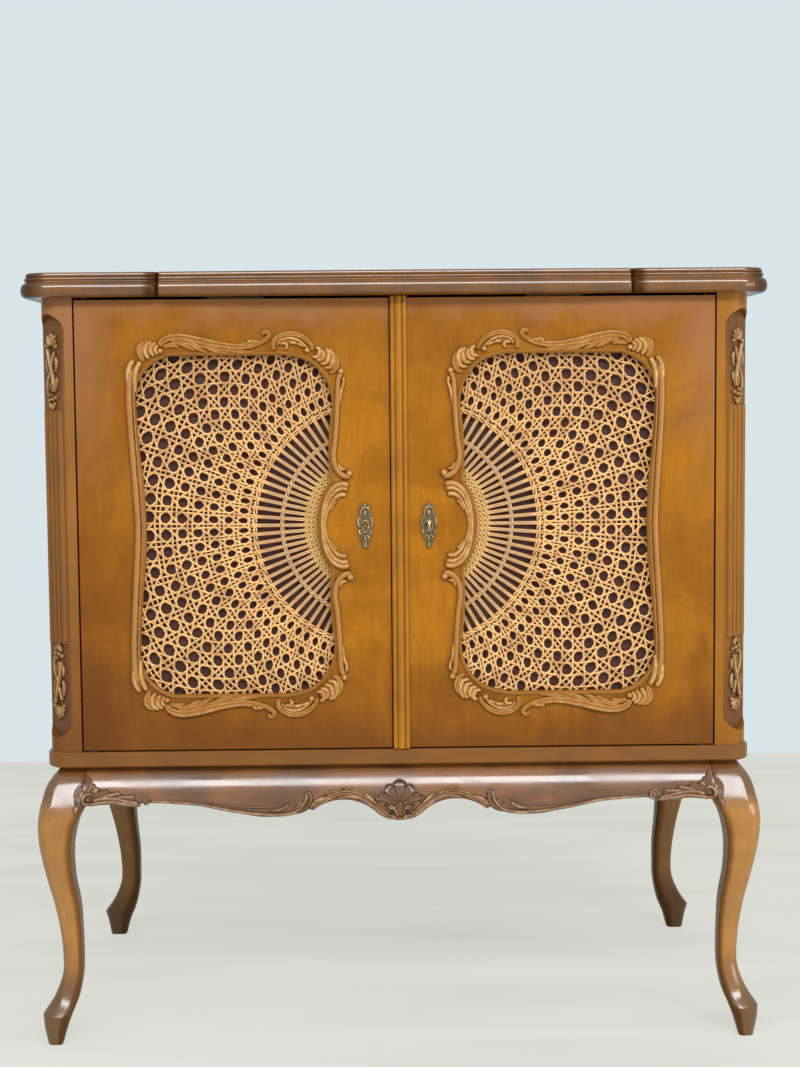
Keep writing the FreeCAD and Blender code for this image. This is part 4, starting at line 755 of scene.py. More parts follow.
def grained_wood(name, pale, deep, grain="Z", gloss=0.34, shine=0.12, coat=0.05, figure=0.5, fibre=0.4,
                 tones=(), coat_rough=(0.1, 0.16), coat_where=None):
    """Varnished wood with fibres, cloudy figure and pores; a tone is a place and its colour there."""
    surface = Surface(name)
    fibres = surface.noise(240, stretched(grain, 0.07), 5, 0.62, 0.4)
    bands = surface.noise(34, stretched(grain, 0.35), 3, 0.5, 0.9)
    clouds = surface.noise(11, rough=0.6, bend=0.9)
    flecks = surface.noise(330, detail=3, rough=0.65, bend=0.6)
    pores = surface.noise(900, stretched(grain, 0.07), 2, 0.5)
    final = surface.blend(clouds.spread(0.38, 0.64, 0, figure), pale, deep)
    final = surface.blend(bands.spread(0.44, 0.72, 0, fibre), final, deep)
    final = surface.blend(fibres.spread(0.45, 0.75, 0, fibre), final, deep)
    final = surface.blend(flecks.spread(0.54, 0.74, 0, 0.35), final, deep)
    final = surface.blend(pores.spread(0.6, 0.74, 0, 0.4 * fibre), final, shaded(deep, 0.45))
    for where, toned in tones:
        final = surface.blend(where(surface), final, toned)
    looks = {"Base Color": final, "Roughness": flecks.spread(0.3, 0.7, gloss - 0.05, gloss + 0.07),
             "Specular IOR Level": shine, "Coat Weight": coat_where(surface, coat) if coat_where else coat,
             "Coat Roughness": bands.spread(0.36, 0.64, *coat_rough), "Coat IOR": 1.62}
    return surface.finish(looks, fibres, 0.07 * fibre, 0.0004)


def door_edges(surface, jitter):
    """Distances from a door's outer, lower and upper edges, made ragged."""
    across, _, up = surface.axes()
    ragged = surface.noise(12, rough=0.62, bend=0.6).spread(0.25, 0.75, -jitter, jitter, "LINEAR")
    plain = (-DOOR_LOW.x - abs(across), up - DOOR_LOW.z, DOOR_HIGH.z - up)
    return [distance + ragged for distance in plain]


def door_tone_and_shade(surface):
    """Toned varnish along a door's outer edge, with painted shade along its upper and lower edges, deepest at
    the foot and on the left.
    """
    outer, low, high = door_edges(surface, 0.028)
    leftward = surface.axes()[0].spread(-0.3, 0.3, 1.3, 0.6, "LINEAR")
    corner = outer.near(0.17, 0.72) * low.near(0.36, 1.0)
    flank = outer.near(0.08, 0.38).most(corner) * leftward
    return flank.most(high.near(0.14, 0.4).most(low.near(0.11, 0.76)))


def painted_door_reflection(surface):
    """Painted reflection, a pale haze at a door's upper outer corner and along its upper edge."""
    outer, _, high = door_edges(surface, 0.022)
    corner = outer.near(0.06, 1.0) * high.near(0.26, 1.0)
    return corner.most(high.near(0.034, 0.9)) * 0.75


def painted_post_reflection(surface):
    """Painted reflection, a pale haze on a corner post, most at its upper end and on the left."""
    across, _, up = surface.axes()
    high = (up + surface.ragged(14, 0.03)).spread(DOOR_HIGH.z - 0.13, DOOR_HIGH.z - 0.02, 0.3, 0.85)
    return high * across.spread(-0.2, 0.2, 1.0, 0.2)


def painted_post_light(surface):
    """Painted light: the right corner post made more golden, where more light falls on it."""
    return surface.axes()[0].spread(-0.2, 0.2, 0.0, 0.38)


def post_foot_tone_and_shade(surface):
    """Toned varnish and painted shade at a corner post's foot, the painted shade deeper on the left."""
    across, _, up = surface.axes()
    low = (up + surface.ragged(14, 0.03)).spread(DOOR_LOW.z, DOOR_LOW.z + 0.2, 0.62, 0.0)
    return low * across.spread(-0.2, 0.2, 1.0, 0.35)


def niche_shade(surface):
    """Painted shade on the ground of a corner post's niche, thinner between the reeds."""
    across, along, up = surface.axes()
    aside, ahead = abs(across) - NICHE_ACROSS, NICHE_ALONG - along
    reach, beside = (aside + ahead) * DIAGONAL, (aside - ahead) * DIAGONAL
    height = abs(up - NICHE_MIDDLE)
    past = (height - (NICHE_HALF_HEIGHT - NICHE_HALF_WIDTH)).most(0.0)
    within = beside.away(past).spread(NICHE_HALF_WIDTH + 0.0003, NICHE_HALF_WIDTH + 0.0006, 1.0, 0.0)
    deep = reach.spread(NICHE_FLOOR + 0.0005, NICHE_FLOOR + 0.006, 1.0, 0.0, "LINEAR")
    return deep * height.spread(0.118, 0.2, 0.45, 0.95) * within


def foot_tone(surface):
    """Darker varnish towards a leg's foot."""
    return (surface.axes()[2] + surface.ragged(16, 0.02)).spread(0.03, 0.1, 0.85, 0.0)


def knee_tone(surface):
    """Darker on a leg's knee, towards the aprons' brown."""
    return (surface.axes()[2] + surface.ragged(22, 0.01)).spread(0.244, 0.272, 0.0, 0.92)


def painted_inward_shade(surface):
    """Painted shade on the faces of a leg that are turned away from the light."""
    return surface.attribute("facing").spread(0.0, 0.85, 0.85, 0.0)


def outward_coat(surface, coat):
    """Polish on the faces of a leg that catch the light."""
    return surface.attribute("facing").spread(0.2, 0.9, 0.02, coat)


def painted_end_shade(surface, most=0.92):
    """Painted shade at the ends of the top and beside the steps in its front, where the surface turns from
    the light.
    """
    step = bpy.context.scene.cabinet_shape.cusp_offset
    across, along, _ = surface.axes()
    across = abs(across)
    beside = across.spread(step + 0.0005, step + 0.003) * across.spread(step + 0.011, step + 0.021, most, 0.0)
    notch = beside * along.spread(TOP_LOW.y + 0.014, TOP_LOW.y + 0.024, 1.0, 0.0)
    return notch.most(across.spread(TOP_HIGH.x - 0.035, TOP_HIGH.x - 0.007, 0.0, most))


def middle_coat(surface, coat):
    """Polish along the top, thinned at its ends and beside the steps, where the painted shade lies."""
    return painted_end_shade(surface, 1.0).spread(0.0, 1.0, coat, 0.05, "LINEAR")


def carved_wood(name, crest, body, recess, coat, wear):
    """Carving with a dark glaze and painted shade in its recesses, and crests lightened for rubbing and as
    painted highlights.
    """
    surface = Surface(name)
    worn = surface.noise(120, rough=0.6, bend=0.3)
    fine = surface.noise(520, detail=3, rough=0.6)
    height = surface.attribute("relief") + worn.spread(0.3, 0.7, -0.1, 0.1, "LINEAR")
    # Recesses take glaze and painted shade, crests take rubbing and painted highlights
    final = surface.blend(height.spread(0.14, 0.72), recess, body)
    final = surface.blend(height.spread(wear, wear + 0.16), final, crest)
    final = surface.blend(fine.spread(0.55, 0.75, 0, 0.3), final, body)
    looks = {"Base Color": final, "Roughness": worn.spread(0.3, 0.7, 0.3, 0.44), "Specular IOR Level": 0.28,
             "Coat Weight": coat, "Coat Roughness": 0.16}
    return surface.finish(looks, worn, 0.12, 0.0005)


def woven_cane(name, pale, deep, stick, band):
    """Glossy split cane with fibres, with painted shade on the strands' deeper parts and a painted shadow
    below the panel's top; the fan's sticks and its tight band have their own tones.
    """
    surface = Surface(name)
    across, along, up = surface.axes()
    streaks = surface.noise(700, detail=3, rough=0.6, bend=1.2)
    patches = surface.noise(55, detail=3, bend=0.4)
    # Painted shade where strands lie deeper, and a painted shadow under the frame at the panel's top
    painted_sunk_shade = along.spread(CANE_MIDDLE - 0.0004, CANE_MIDDLE + 0.0012, 0.0, 0.75)
    painted_top_shadow = up.spread(CANE_HIGH.z - 0.12, CANE_HIGH.z, 0.0, 0.5)
    radius = (abs(across) - bpy.context.scene.cabinet_shape.fan_centre).away(up - DOOR_MIDDLE)
    sticks = radius.spread(0.076, 0.083) * radius.spread(0.118, 0.127, 0.7, 0.0)
    final = surface.blend(patches.spread(0.42, 0.7, 0, 0.65), pale, deep)
    final = surface.blend(streaks.spread(0.48, 0.72, 0, 0.55), final, deep)
    final = surface.blend(painted_sunk_shade, final, shaded(deep, 0.4))
    final = surface.blend(painted_top_shadow, final, deep)
    final = surface.blend(sticks, final, stick)
    final = surface.blend(radius.spread(0.076, 0.083, 0.6, 0.0), final, band)
    looks = {"Base Color": final, "Roughness": streaks.spread(0.3, 0.7, 0.36, 0.52), "Coat Weight": 0.2,
             "Coat Roughness": 0.25}
    return surface.finish(looks, streaks, 0.1, 0.0002)


def backing_cloth(name, deep):
    """Dark matt cloth behind the cane."""
    surface = Surface(name)
    threads = surface.noise(1400, (1, 1, 0.4), 2, 0.5)
    patches = surface.noise(30, detail=3, rough=0.5, bend=0.2)
    final = surface.blend(patches.spread(0.3, 0.7), deep, shaded(deep, 1.5))
    final = surface.blend(threads.spread(0.4, 0.7, 0, 0.4), final, shaded(deep, 0.6))
    return surface.finish({"Base Color": final, "Roughness": 0.85}, threads, 0.2, 0.0002)


def old_metal(name, crest, recess, metallic, rough, relief_shows=False):
    """Metal with tarnish in its recesses and rubbed crests."""
    surface = Surface(name)
    spots = surface.noise(160, detail=5, rough=0.65, bend=0.3)
    scuffs = surface.noise(900, (1, 0.3, 1), 3, 0.6)
    wear = spots.spread(0.32, 0.66, 0.35, 1.0)
    if relief_shows:
        wear = surface.attribute("relief").spread(0.15, 0.85, 0.05, 1.0) * wear
    looks = {"Base Color": surface.blend(wear, recess, crest), "Metallic": metallic,
             "Roughness": spots.spread(0.3, 0.7, rough + 0.14, rough)}
    return surface.finish(looks, scuffs, 0.1, 0.0002)


def make_finishes(settings):
    """Makes all the materials."""
    tone = SimpleNamespace(**{key: tuple(getattr(settings, key)) for key in settings.__annotations__})
    # Door veneer: toned varnish and painted shade at its edges, and a painted reflection at its top
    grained_wood("door_veneer", tone.veneer, tone.veneer_dark, gloss=0.36, shine=0.1, figure=0.6, fibre=0.35,
                 tones=((door_tone_and_shade, tone.veneer_edge_tone_and_shade), (painted_door_reflection, tone.veneer_reflection_colour)))
    grained_wood("case_wood", tone.case, tone.case_dark, figure=0.38)
    # Posts: painted light on the right one, a painted reflection at the top, toned varnish with painted shade
    # at the foot, and painted shade in the niches
    grained_wood("post_wood", shaded(tone.case, 0.74), shaded(tone.case_dark, 0.74), figure=0.6,
                 tones=((painted_post_light, tone.veneer), (painted_post_reflection, tone.veneer_reflection_colour),
                        (post_foot_tone_and_shade, tone.veneer_edge_tone_and_shade), (niche_shade, tone.niche)))
    grained_wood("base_wood", tone.base, tone.base_dark, "X", gloss=0.32, shine=0.2, coat=0.25, figure=0.6,
                 fibre=0.6)
    grained_wood("moulded_top", tone.top, tone.top_dark, "X", gloss=0.3, coat=1.0, figure=0.6, fibre=0.6,
                 coat_rough=(0.05, 0.17), coat_where=middle_coat,
                 tones=((painted_end_shade, shaded(tone.top_dark, 0.6)),))
    grained_wood("apron_wood", tone.apron, tone.apron_dark, "X", coat=1.0, figure=0.8, fibre=0.6,
                 coat_rough=(0.1, 0.22))
    grained_wood("leg_wood", tone.leg, tone.leg_dark, coat=1.0, coat_rough=(0.11, 0.19),
                 coat_where=outward_coat,
                 tones=((knee_tone, shaded(tone.apron, 0.6)), (painted_inward_shade, shaded(tone.leg_dark, 0.4)),
                        (foot_tone, shaded(tone.leg_dark, 0.34))))
    # Rear legs: the leg colours halved as painted shade, for the shadow under the cabinet
    grained_wood("rear_leg_wood", shaded(tone.leg, 0.5), shaded(tone.leg_dark, 0.5), gloss=0.36, shine=0.1,
                 coat=0.5, coat_rough=(0.16, 0.26), coat_where=outward_coat,
                 tones=((painted_inward_shade, shaded(tone.leg_dark, 0.22)), (foot_tone, shaded(tone.leg_dark, 0.3))))
    grained_wood("inner_wood", tone.inside, shaded(tone.inside, 0.7), gloss=0.5, shine=0.3, figure=0.4,
                 fibre=0.5)
    grained_wood("sight_edge", shaded(tone.case, 0.75), tone.case_dark, gloss=0.4, shine=0.2, coat=0.1,
                 fibre=0.3)
    carved_wood("carved_wood", tone.carved_crest_wear_and_highlight, tone.carved, tone.carved_dark_glaze_and_shade, coat=0.25, wear=0.88)
    carved_wood("apron_carving", tone.bronzed_crest_wear_and_highlight, tone.bronzed, tone.carved_dark_glaze_and_shade, coat=0.7, wear=0.9)
    carved_wood("post_carving", tone.gilded_crest_wear_and_highlight, tone.gilded, tone.carved_dark_glaze_and_shade, coat=0.25, wear=0.84)
    woven_cane("cane", tone.cane, tone.cane_streaks_and_shade, tone.cane_stick, tone.cane_band)
    backing_cloth("dark_backing", tone.backing)
    old_metal("aged_brass", tone.brass, shaded(tone.brass, 0.12), metallic=0.85, rough=0.34,
              relief_shows=True)
    old_metal("plain_brass", tone.brass, shaded(tone.brass, 0.5), metallic=0.9, rough=0.32)
    old_metal("plate_brass", shaded(tone.brass, 0.32), shaded(tone.brass, 0.12), metallic=0.75, rough=0.42)
    old_metal("steel", tone.steel, shaded(tone.steel, 0.45), metallic=0.9, rough=0.36)
    # Pivots nearly black as painted shade, for the dark gaps they sit in
    old_metal("dark_iron", shaded(tone.steel, 0.08), shaded(tone.steel, 0.04), metallic=0.3, rough=0.75)


class CABINET_OT_finishes(bpy.types.Operator):
    """Make the woods, cane and metals, and give them to the plain CAD pieces"""
    bl_idname = "cabinet.finishes"
    bl_label = "Finishes"

    def execute(self, context):
        make_finishes(context.scene.cabinet_finish)
        for finish, names in NODE_FINISHES.items():
            for name in names:
                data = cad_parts[name].data
                data.materials.clear()
                data.materials.append(finish_named(finish))
        return {"FINISHED"}


def top_ring(shape, inset):
    """Outline of the top at one level of its moulding, in metres."""
    half, front, rear = TOP_HIGH.x - inset, TOP_LOW.y + inset, TOP_HIGH.y - inset
    shoulder = front + shape.bow
    corner, back = shape.top_corner - inset, shape.rear_corner - inset
    step, deep = shape.cusp_offset, shape.cusp_depth
    notch, run = step + CUSP_INNER_RUN, step + CUSP_INNER_RUN + CUSP_OUTER_RUN
    quarter = [math.pi / 2 * i / QUARTER_STEPS for i in range(QUARTER_STEPS + 1)]
    shares = [i / BOW_STEPS for i in range(BOW_STEPS)]
    side = [(step * share, front + shape.bow * share**2) for share in shares]
    side += [(step + CUSP_INNER_RUN * math.sin(a), shoulder + deep * (1 - math.cos(a))) for a in quarter]
    side += [(notch + CUSP_OUTER_RUN * (1 - math.cos(a)), shoulder + deep * (1 - math.sin(a)))
             for a in quarter[1:]]
    side += [(run + (half - corner - run) * i / SHOULDER_STEPS, shoulder) for i in range(1, SHOULDER_STEPS)]
    side += [(half - corner + corner * math.sin(a), shoulder + corner * (1 - math.cos(a))) for a in quarter]
    start, end = shoulder + corner, rear - back
    side += [(half, start + (end - start) * i / FLANK_STEPS) for i in range(1, FLANK_STEPS)]
    side += [(half - back * (1 - math.cos(a)), rear - back + back * math.sin(a)) for a in quarter]
    return side + [(-x, y) for x, y in reversed(side) if x > 1e-6]


def drilled(mesh):
    """The top's mesh with its holes."""
    pins = bpy.data.meshes.new("hole_pins")
    shell = bmesh.new()
    for across, along, radius, depth in TOP_HOLES:
        place = Matrix.Translation((across * MM, along * MM, TOP_LOW.z))
        bmesh.ops.create_cone(shell, cap_ends=True, segments=HOLE_SIDES, radius1=radius * MM,
                              radius2=radius * MM, depth=2 * depth * MM, matrix=place)
    shell.to_mesh(pins)
    shell.free()
    board, drill = placed(mesh.name, mesh), placed(pins.name, pins)
    modifier = board.modifiers.new("holes", "BOOLEAN")
    modifier.operation = "DIFFERENCE"
    modifier.object = drill
    made = as_mesh(board)
    bpy.data.objects.remove(drill)
    bpy.data.meshes.remove(pins)
    made.shade_smooth()
    made.set_sharp_from_angle(angle=math.radians(CREASES["top"]))
    return made


class CABINET_OT_top(bpy.types.Operator):
    """Shape the moulded top with its bowed front"""
    bl_idname = "cabinet.top"
    bl_label = "Moulded top"

    def execute(self, context):
        shape = context.scene.cabinet_shape
        rise = TOP_HIGH.z - TOP_LOW.z
        levels = smooth_line(TOP_PROFILE, PROFILE_STEP)
        rings = [top_ring(shape, min(1, max(0, inset)) * shape.moulding_inset) for _, inset in levels]
        verts = [(x, y, TOP_LOW.z + rise * share) for (share, _), ring in zip(levels, rings) for x, y in ring]
        block = plain_mesh("moulded_top_block", verts, skin(len(rings), len(rings[0])), CREASES["top"])
        piece("moulded_top", drilled(block), "moulded_top", "carcass", "moulded_top", "top_panel")
        return {"FINISHED"}


def leg_section(outer, front, inner, soft, ridge):
    """Rounded square of a front left leg, in mm; the outer corner is the softer one."""
    low_x, high_x = LEG_CORNER[0] - outer, LEG_CORNER[0] + inner
    low_y, high_y = LEG_CORNER[1] - front, LEG_CORNER[1] + inner
    corners = ((low_x + soft, low_y + soft, soft, math.pi),
               (high_x - ridge, low_y + ridge, ridge, 1.5 * math.pi),
               (high_x - ridge, high_y - ridge, ridge, 0),
               (low_x + ridge, high_y - ridge, ridge, math.pi / 2))
    turns = [math.pi / 2 * i / CORNER_STEPS for i in range(CORNER_STEPS + 1)]
    rounds = [[(x + radius * math.cos(start + a), y + radius * math.sin(start + a)) for a in turns]
              for x, y, radius, start in corners]
    front, rear = (a[-1][0] + (b[0][0] - a[-1][0]) * share
                   for (a, b), share in zip((rounds[:2], rounds[2:]), FACE_SHARES))
    return rounds[0] + [(front, low_y)] + rounds[1] + rounds[2] + [(rear, high_y)] + rounds[3]


def row_at(rows, share):
    """Values of a table at a share of the height, between its rows."""
    for (high, *upper), (low, *lower) in zip(rows, rows[1:]):
        if share >= low:
            t = (share - low) / (high - low)
            return [b + (a - b) * t for a, b in zip(upper, lower)]
    return rows[-1][1:]


def leg_levels(rows):
    """A smooth run through the rows of a leg's table, with the height in hundredths."""
    return smooth_line([(share * 100, *rest) for share, *rest in rows], LEG_STEP)


def knee_face(share):
    """How far a front leg's front face stands from the corner at a share of the height, in mm."""
    return row_at(leg_levels(KNEE_FACE), share * 100)[0]


def leg_rings(rows, foot_rows, has_knee_face):
    """Heights and rings of a front left leg from its block to the floor, in mm."""
    rings = []
    for level, outer, inner in leg_levels(rows) + leg_levels(foot_rows)[1:]:
        share = level / 100
        soft, ridge = (radius * (outer + inner) for radius in row_at(LEG_ROUNDING, share))
        front = knee_face(share) if has_knee_face and share > KNEE_FACE[-1][0] else outer
        rings.append((share * APRON_HIGH.z / MM, leg_section(outer, front, inner, soft, ridge)))
    return rings


class CABINET_OT_legs(bpy.types.Operator):
    """Shape the four legs with their knees, ankles and feet"""
    bl_idname = "cabinet.legs"
    bl_label = "Legs"

    def execute(self, context):
        self.shape_pair("front", "leg_wood", FRONT_LEG_ROWS, FRONT_FOOT_ROWS, FRONT_FACING)
        self.shape_pair("rear", "rear_leg_wood", REAR_LEG_ROWS, REAR_FOOT_ROWS, REAR_FACING)
        return {"FINISHED"}

    def shape_pair(self, end, finish, rows, foot_rows, facing):
        """The two legs of one end; the rear ones are shaped like front ones and mirrored."""
        rings = leg_rings(rows, foot_rows, end == "front")
        points = [(x, y, z) for z, ring in rings for x, y in ring]
        if end == "rear":
            points = [(x + REAR_LEG_INSET, 2 * LEG_MIDDLE - y, z) for x, y, z in points]
        shades = []
        for first, *last in facing:
            steps = range(CORNER_STEPS + 1) if last else (0,)
            shades += [first + (sum(last) - first) * i / CORNER_STEPS for i in steps]
        faces = skin(len(rings), len(shades))
        for side, sign in SIDES:
            name = f"{end}_{side}_leg"
            verts = [Vector((-sign * x, y, z)) * MM for x, y, z in points]
            mesh = plain_mesh(f"{name}_shaped", verts, faces, CREASES["legs"])
            mesh.attributes.new("facing", "FLOAT", "POINT").data.foreach_set("value", shades * len(rings))
            piece(f"{name}_shaped", mesh, finish, "carcass", "leg_wood", name)


def apron_drops():
    """The apron's lower edge as places across its half and drops, in mm."""
    half = APRON_HIGH.x / MM
    drop = (APRON_HIGH.z - APRON_LOW.z) / MM
    edge = []
    for arc in APRON_EDGE:
        edge += arc_points(*[(u * half, v * drop) for u, v in arc], APRON_ARC_STEPS)
    return edge + [(half, APRON_EDGE[-1][2][1] * drop)]


def apron_depth(z):
    """Where the apron's swelling face lies at a height, in mm."""
    middle_y, middle_z, radius = circle_through(*APRON_FACE)
    return middle_y - math.sqrt(max(0, radius**2 - (z - middle_z)**2))


def apron_place(across, up, height):
    """A point on the apron's face, lifted by a height."""
    slope = apron_depth(up + 0.5) - apron_depth(up - 0.5)
    out = Vector((0, -1, slope)).normalized()
    return (Vector((across, apron_depth(up), up)) + out * height) * MM


def knee_place(across, up, height):
    """A point on the apron's face, or on the knee beside it, lifted by a height."""
    proud = max(0, apron_depth(up) - LEG_CORNER[1] + knee_face(up * MM / APRON_HIGH.z))
    over = ease(min(1, max(0, (abs(across) - KNEE_START) / KNEE_BLEND)))
    return apron_place(across, up, height) - Vector((0, proud * over * MM, 0))


class CABINET_OT_apron(bpy.types.Operator):
    """Shape the front apron, and carve its shell, scrolls and knee leaves"""
    bl_idname = "cabinet.apron"
    bl_label = "Apron and its carving"

    def execute(self, context):
        self.shape_apron()
        scrolls, shell = Carving(apron_place, sink=0.6), Carving(apron_place, sink=0.6)
        knees = Carving(knee_place, sink=2.4)
        for _, sign in SIDES:
            mirrored = (-sign, 1)
            scrolls.strokes(APRON_STROKES, mirrored)
            knees.strokes(KNEE_GROUND, mirrored, shade=0.4)
            knees.strokes(KNEE_STROKES, mirrored)
            for x, z, radius in KNEE_BEADS:
                knees.bead(-sign * x, z, radius, crest=3.2)
                knees.bead(-sign * x, z, radius / 2, crest=4.0)
        for turn, reach, half in SHELL_LOBES:
            for sign in ((1, -1) if turn else (1,)):
                self.carve_lobe(shell, sign * math.radians(turn), reach, half)
        shell.strokes(SHELL_PAIRS, *BOTH_HALVES)
        for bead in SHELL_BEADS:
            shell.bead(*bead)
        for name, carving, solid in (("apron_scroll_carving", scrolls, "apron_scrolls"),
                                     ("knee_leaf_carving", knees, "knee_carvings"),
                                     ("apron_shell_carving", shell, "apron_shell")):
            piece(name, carving.mesh(name), "apron_carving", "carcass", "carved_wood", solid)
        return {"FINISHED"}

    def shape_apron(self):
        """The apron's board, with its swelling face and its shaped lower edge."""
        edge = apron_drops()
        edge = [(-x, d) for x, d in reversed(edge[1:])] + edge
        top, back = APRON_HIGH.z / MM, APRON_HIGH.y / MM
        verts = []
        for x, drop in edge:
            levels = [top - drop * i / APRON_ROWS for i in range(APRON_ROWS + 1)]
            verts += [Vector((x, apron_depth(z), z)) * MM for z in levels]
            verts += [Vector((x, back, z)) * MM for z in reversed(levels)]
        faces = skin(len(edge), 2 * (APRON_ROWS + 1))
        mesh = plain_mesh("front_apron_shaped", verts, faces, CREASES["apron"])
        piece("front_apron_shaped", mesh, "apron_wood", "carcass", "leg_wood", "front_apron")

    def carve_lobe(self, shell, angle, reach, half):
        """One hollow lobe of the shell, with its rim."""

        def lobe(along, aside):
            return (along * math.sin(angle) + aside * math.cos(angle),
                    SHELL_MIDDLE + along * math.cos(angle) - aside * math.sin(angle))

        spine = [lobe(r, 0) for r in (2.5, reach * 0.45, reach * 0.75, reach)]
        shell.stroke(spine, (1.0, half * 0.56, half), 4.2, "hollow", 12)
        turns = [math.radians(d) for d in (-95, -60, -30, 0, 30, 60, 95)]
        rim = [lobe(reach - half * (1 - math.cos(a)), half * math.sin(a)) for a in turns]
        shell.stroke(rim, (0.9, 1.3, 0.9), 4.8)


class CABINET_OT_post_leaves(bpy.types.Operator):
    """Carve the leaf sprays at both ends of each corner post's niche"""
    bl_idname = "cabinet.post_leaves"
    bl_label = "Post leaves"

    def execute(self, context):
        for side, sign in SIDES:
            low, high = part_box(f"{side}_post_carving")

            def place(across, up, height):
                reach = NICHE_FLOOR / MM + height
                x = NICHE_ACROSS / MM + DIAGONAL * (reach - across)
                y = NICHE_ALONG / MM - DIAGONAL * (reach + across)
                return Vector((sign * x, y, up)) * MM

            spray = Carving(place, sink=0.8)
            for foot, upward in ((low.z / MM + SPRAY_HEIGHT, -1), (high.z / MM - SPRAY_HEIGHT, 1)):
                spray.strokes(SPRAY_STROKES, (1, upward), lift=foot)
                spray.strokes(SPRAY_PAIRS, (1, upward), (-1, upward), lift=foot)
                for a, b, radius in SPRAY_BEADS:
                    spray.bead(a, foot + upward * b, radius, crest=3.8)
            name = f"{side}_post_spray"
            piece(name, spray.mesh(name), "post_carving", "carcass", "carved_wood", f"{side}_post_carving")
        return {"FINISHED"}


def opening_outline():
    """Outline of a door's opening, in mm from the cabinet's middle and the door's middle."""
    upper = []
    for arc in OPENING_ARCS:
        scaled = [(OPENING_FAR - OPENING_WIDTH * u, OPENING_HALF_HEIGHT * v) for u, v in arc]
        upper += arc_points(*scaled, OPENING_ARC_STEPS)
    upper.append((OPENING_FAR - OPENING_WIDTH * OPENING_ARCS[-1][2][0], 0))
    return upper + [(x, -y) for x, y in reversed(upper[1:-1])]


class CABINET_OT_door_carving(bpy.types.Operator):
    """Carve the frames round both doors' openings"""
    bl_idname = "cabinet.door_carving"
    bl_label = "Door carving"

    def execute(self, context):
        shape = context.scene.cabinet_shape
        for side, sign in SIDES:

            def place(across, up, height):
                return Vector((sign * across * MM, DOOR_FACE - height * MM, DOOR_MIDDLE + up * MM))

            carving = Carving(place, sink=0.5)
            carving.strokes(DOOR_GROUND, *UPPER_AND_LOWER, shade=0.45)
            carving.strokes(DOOR_STROKES, *UPPER_AND_LOWER)
            for points, *rest in DOOR_THROUGH_STROKES:
                below = [(a, -b) for a, b in reversed(points) if b > 0]
                carving.stroke([*points, *below], *rest)
            for a, b, radius in DOOR_BEADS:
                for turn in (1, -1):
                    carving.bead(a, turn * b, radius, crest=1.5 * radius)
            name = f"{side}_frame_carving"
            piece(name, carving.mesh(name), "carved_wood", f"{side}_door", "carved_wood",
                  f"{side}_carved_frame")
            name = f"{side}_sight_edge"
            piece(name, self.sight_edge(name, shape, place), "sight_edge", f"{side}_door", "carved_wood")
        return {"FINISHED"}

    def sight_edge(self, name, shape, place):
        """The plain rim round an opening."""
        wide, rise = shape.sight_edge_width / MM, shape.sight_edge_rise / MM
        profile = ((-0.3, -4.0), (-0.3, -0.4), (wide * 0.25, rise * 0.6), (wide * 0.6, rise),
                   (wide * 0.9, rise * 0.7), (wide, -0.5))
        outline = opening_outline()
        verts = []
        for (behind_x, behind_y), (x, y), (ahead_x, ahead_y) in zip(outline[-1:] + outline, outline,
                                                                    outline[1:] + outline[:1]):
            dx, dy = ahead_x - behind_x, ahead_y - behind_y
            size = math.hypot(dx, dy)
            verts += [place(x - dy / size * out, y + dx / size * out, tall) for out, tall in profile]
        return plain_mesh(name, verts, skin(len(outline), len(profile), loop=True), CREASES["sight_edge"])


def strand_tree():
    """Geometry Nodes tree that lays flat strands along the edges of a mesh."""
    tree = bpy.data.node_groups.new("lay_strands", "GeometryNodeTree")
    for name, kind in (("Lines", "Geometry"), ("Width", "Float"), ("Thickness", "Float"), ("Sides", "Int"),
                       ("Finish", "Material")):
        tree.interface.new_socket(name, in_out="INPUT", socket_type=f"NodeSocket{kind}")
    tree.interface.new_socket("Strands", in_out="OUTPUT", socket_type="NodeSocketGeometry")
    given = node(tree, "NodeGroupInput").outputs
    curve = node(tree, "GeometryNodeMeshToCurve", {"Mesh": given["Lines"]}).outputs[0]
    level = node(tree, "GeometryNodeSetCurveNormal", {"Curve": curve}, mode="Z_UP").outputs[0]
    circle = node(tree, "GeometryNodeCurvePrimitiveCircle",
                  {"Resolution": given["Sides"], "Radius": 0.5}).outputs[0]
    flat = node(tree, "ShaderNodeCombineXYZ", {0: given["Width"], 1: given["Thickness"], 2: 1.0}).outputs[0]
    profile = node(tree, "GeometryNodeTransform", {"Geometry": circle, "Scale": flat}).outputs[0]
    swept = node(tree, "GeometryNodeCurveToMesh",
                 {"Curve": level, "Profile Curve": profile, "Fill Caps": True}).outputs[0]
    smooth = node(tree, "GeometryNodeSetShadeSmooth", {"Geometry": swept}).outputs[0]
    real = node(tree, "GeometryNodeRealizeInstances", {"Geometry": smooth}).outputs[0]
    done = node(tree, "GeometryNodeSetMaterial", {"Geometry": real, "Material": given["Finish"]}).outputs[0]
    node(tree, "NodeGroupOutput", {"Strands": done})
    return tree


def lay_strands(tree, lines, **sizes):
    """Runs the strand tree along lines of points and returns the plain mesh."""
    verts, edges = [], []
    for line in lines:
        edges += [(len(verts) + i, len(verts) + i + 1) for i in range(len(line) - 1)]
        verts += line
    guide = bpy.data.meshes.new("strand_lines")
    guide.from_pydata(verts, edges, [])
    helper = placed("strand_lines", guide)
    modifier = helper.modifiers.new("lay_strands", "NODES")
    modifier.node_group = tree
    for item in tree.interface.items_tree:
        if item.in_out == "INPUT" and item.name in sizes:
            modifier[item.identifier] = sizes[item.name]
    return as_mesh(helper)


def ring_radius(index):
    """Radius of a ring pair, also between two of them, in mm."""
    low = min(max(int(math.floor(index)), 0), len(RING_RADII) - 2)
    return RING_RADII[low] + (RING_RADII[low + 1] - RING_RADII[low]) * (index - low)


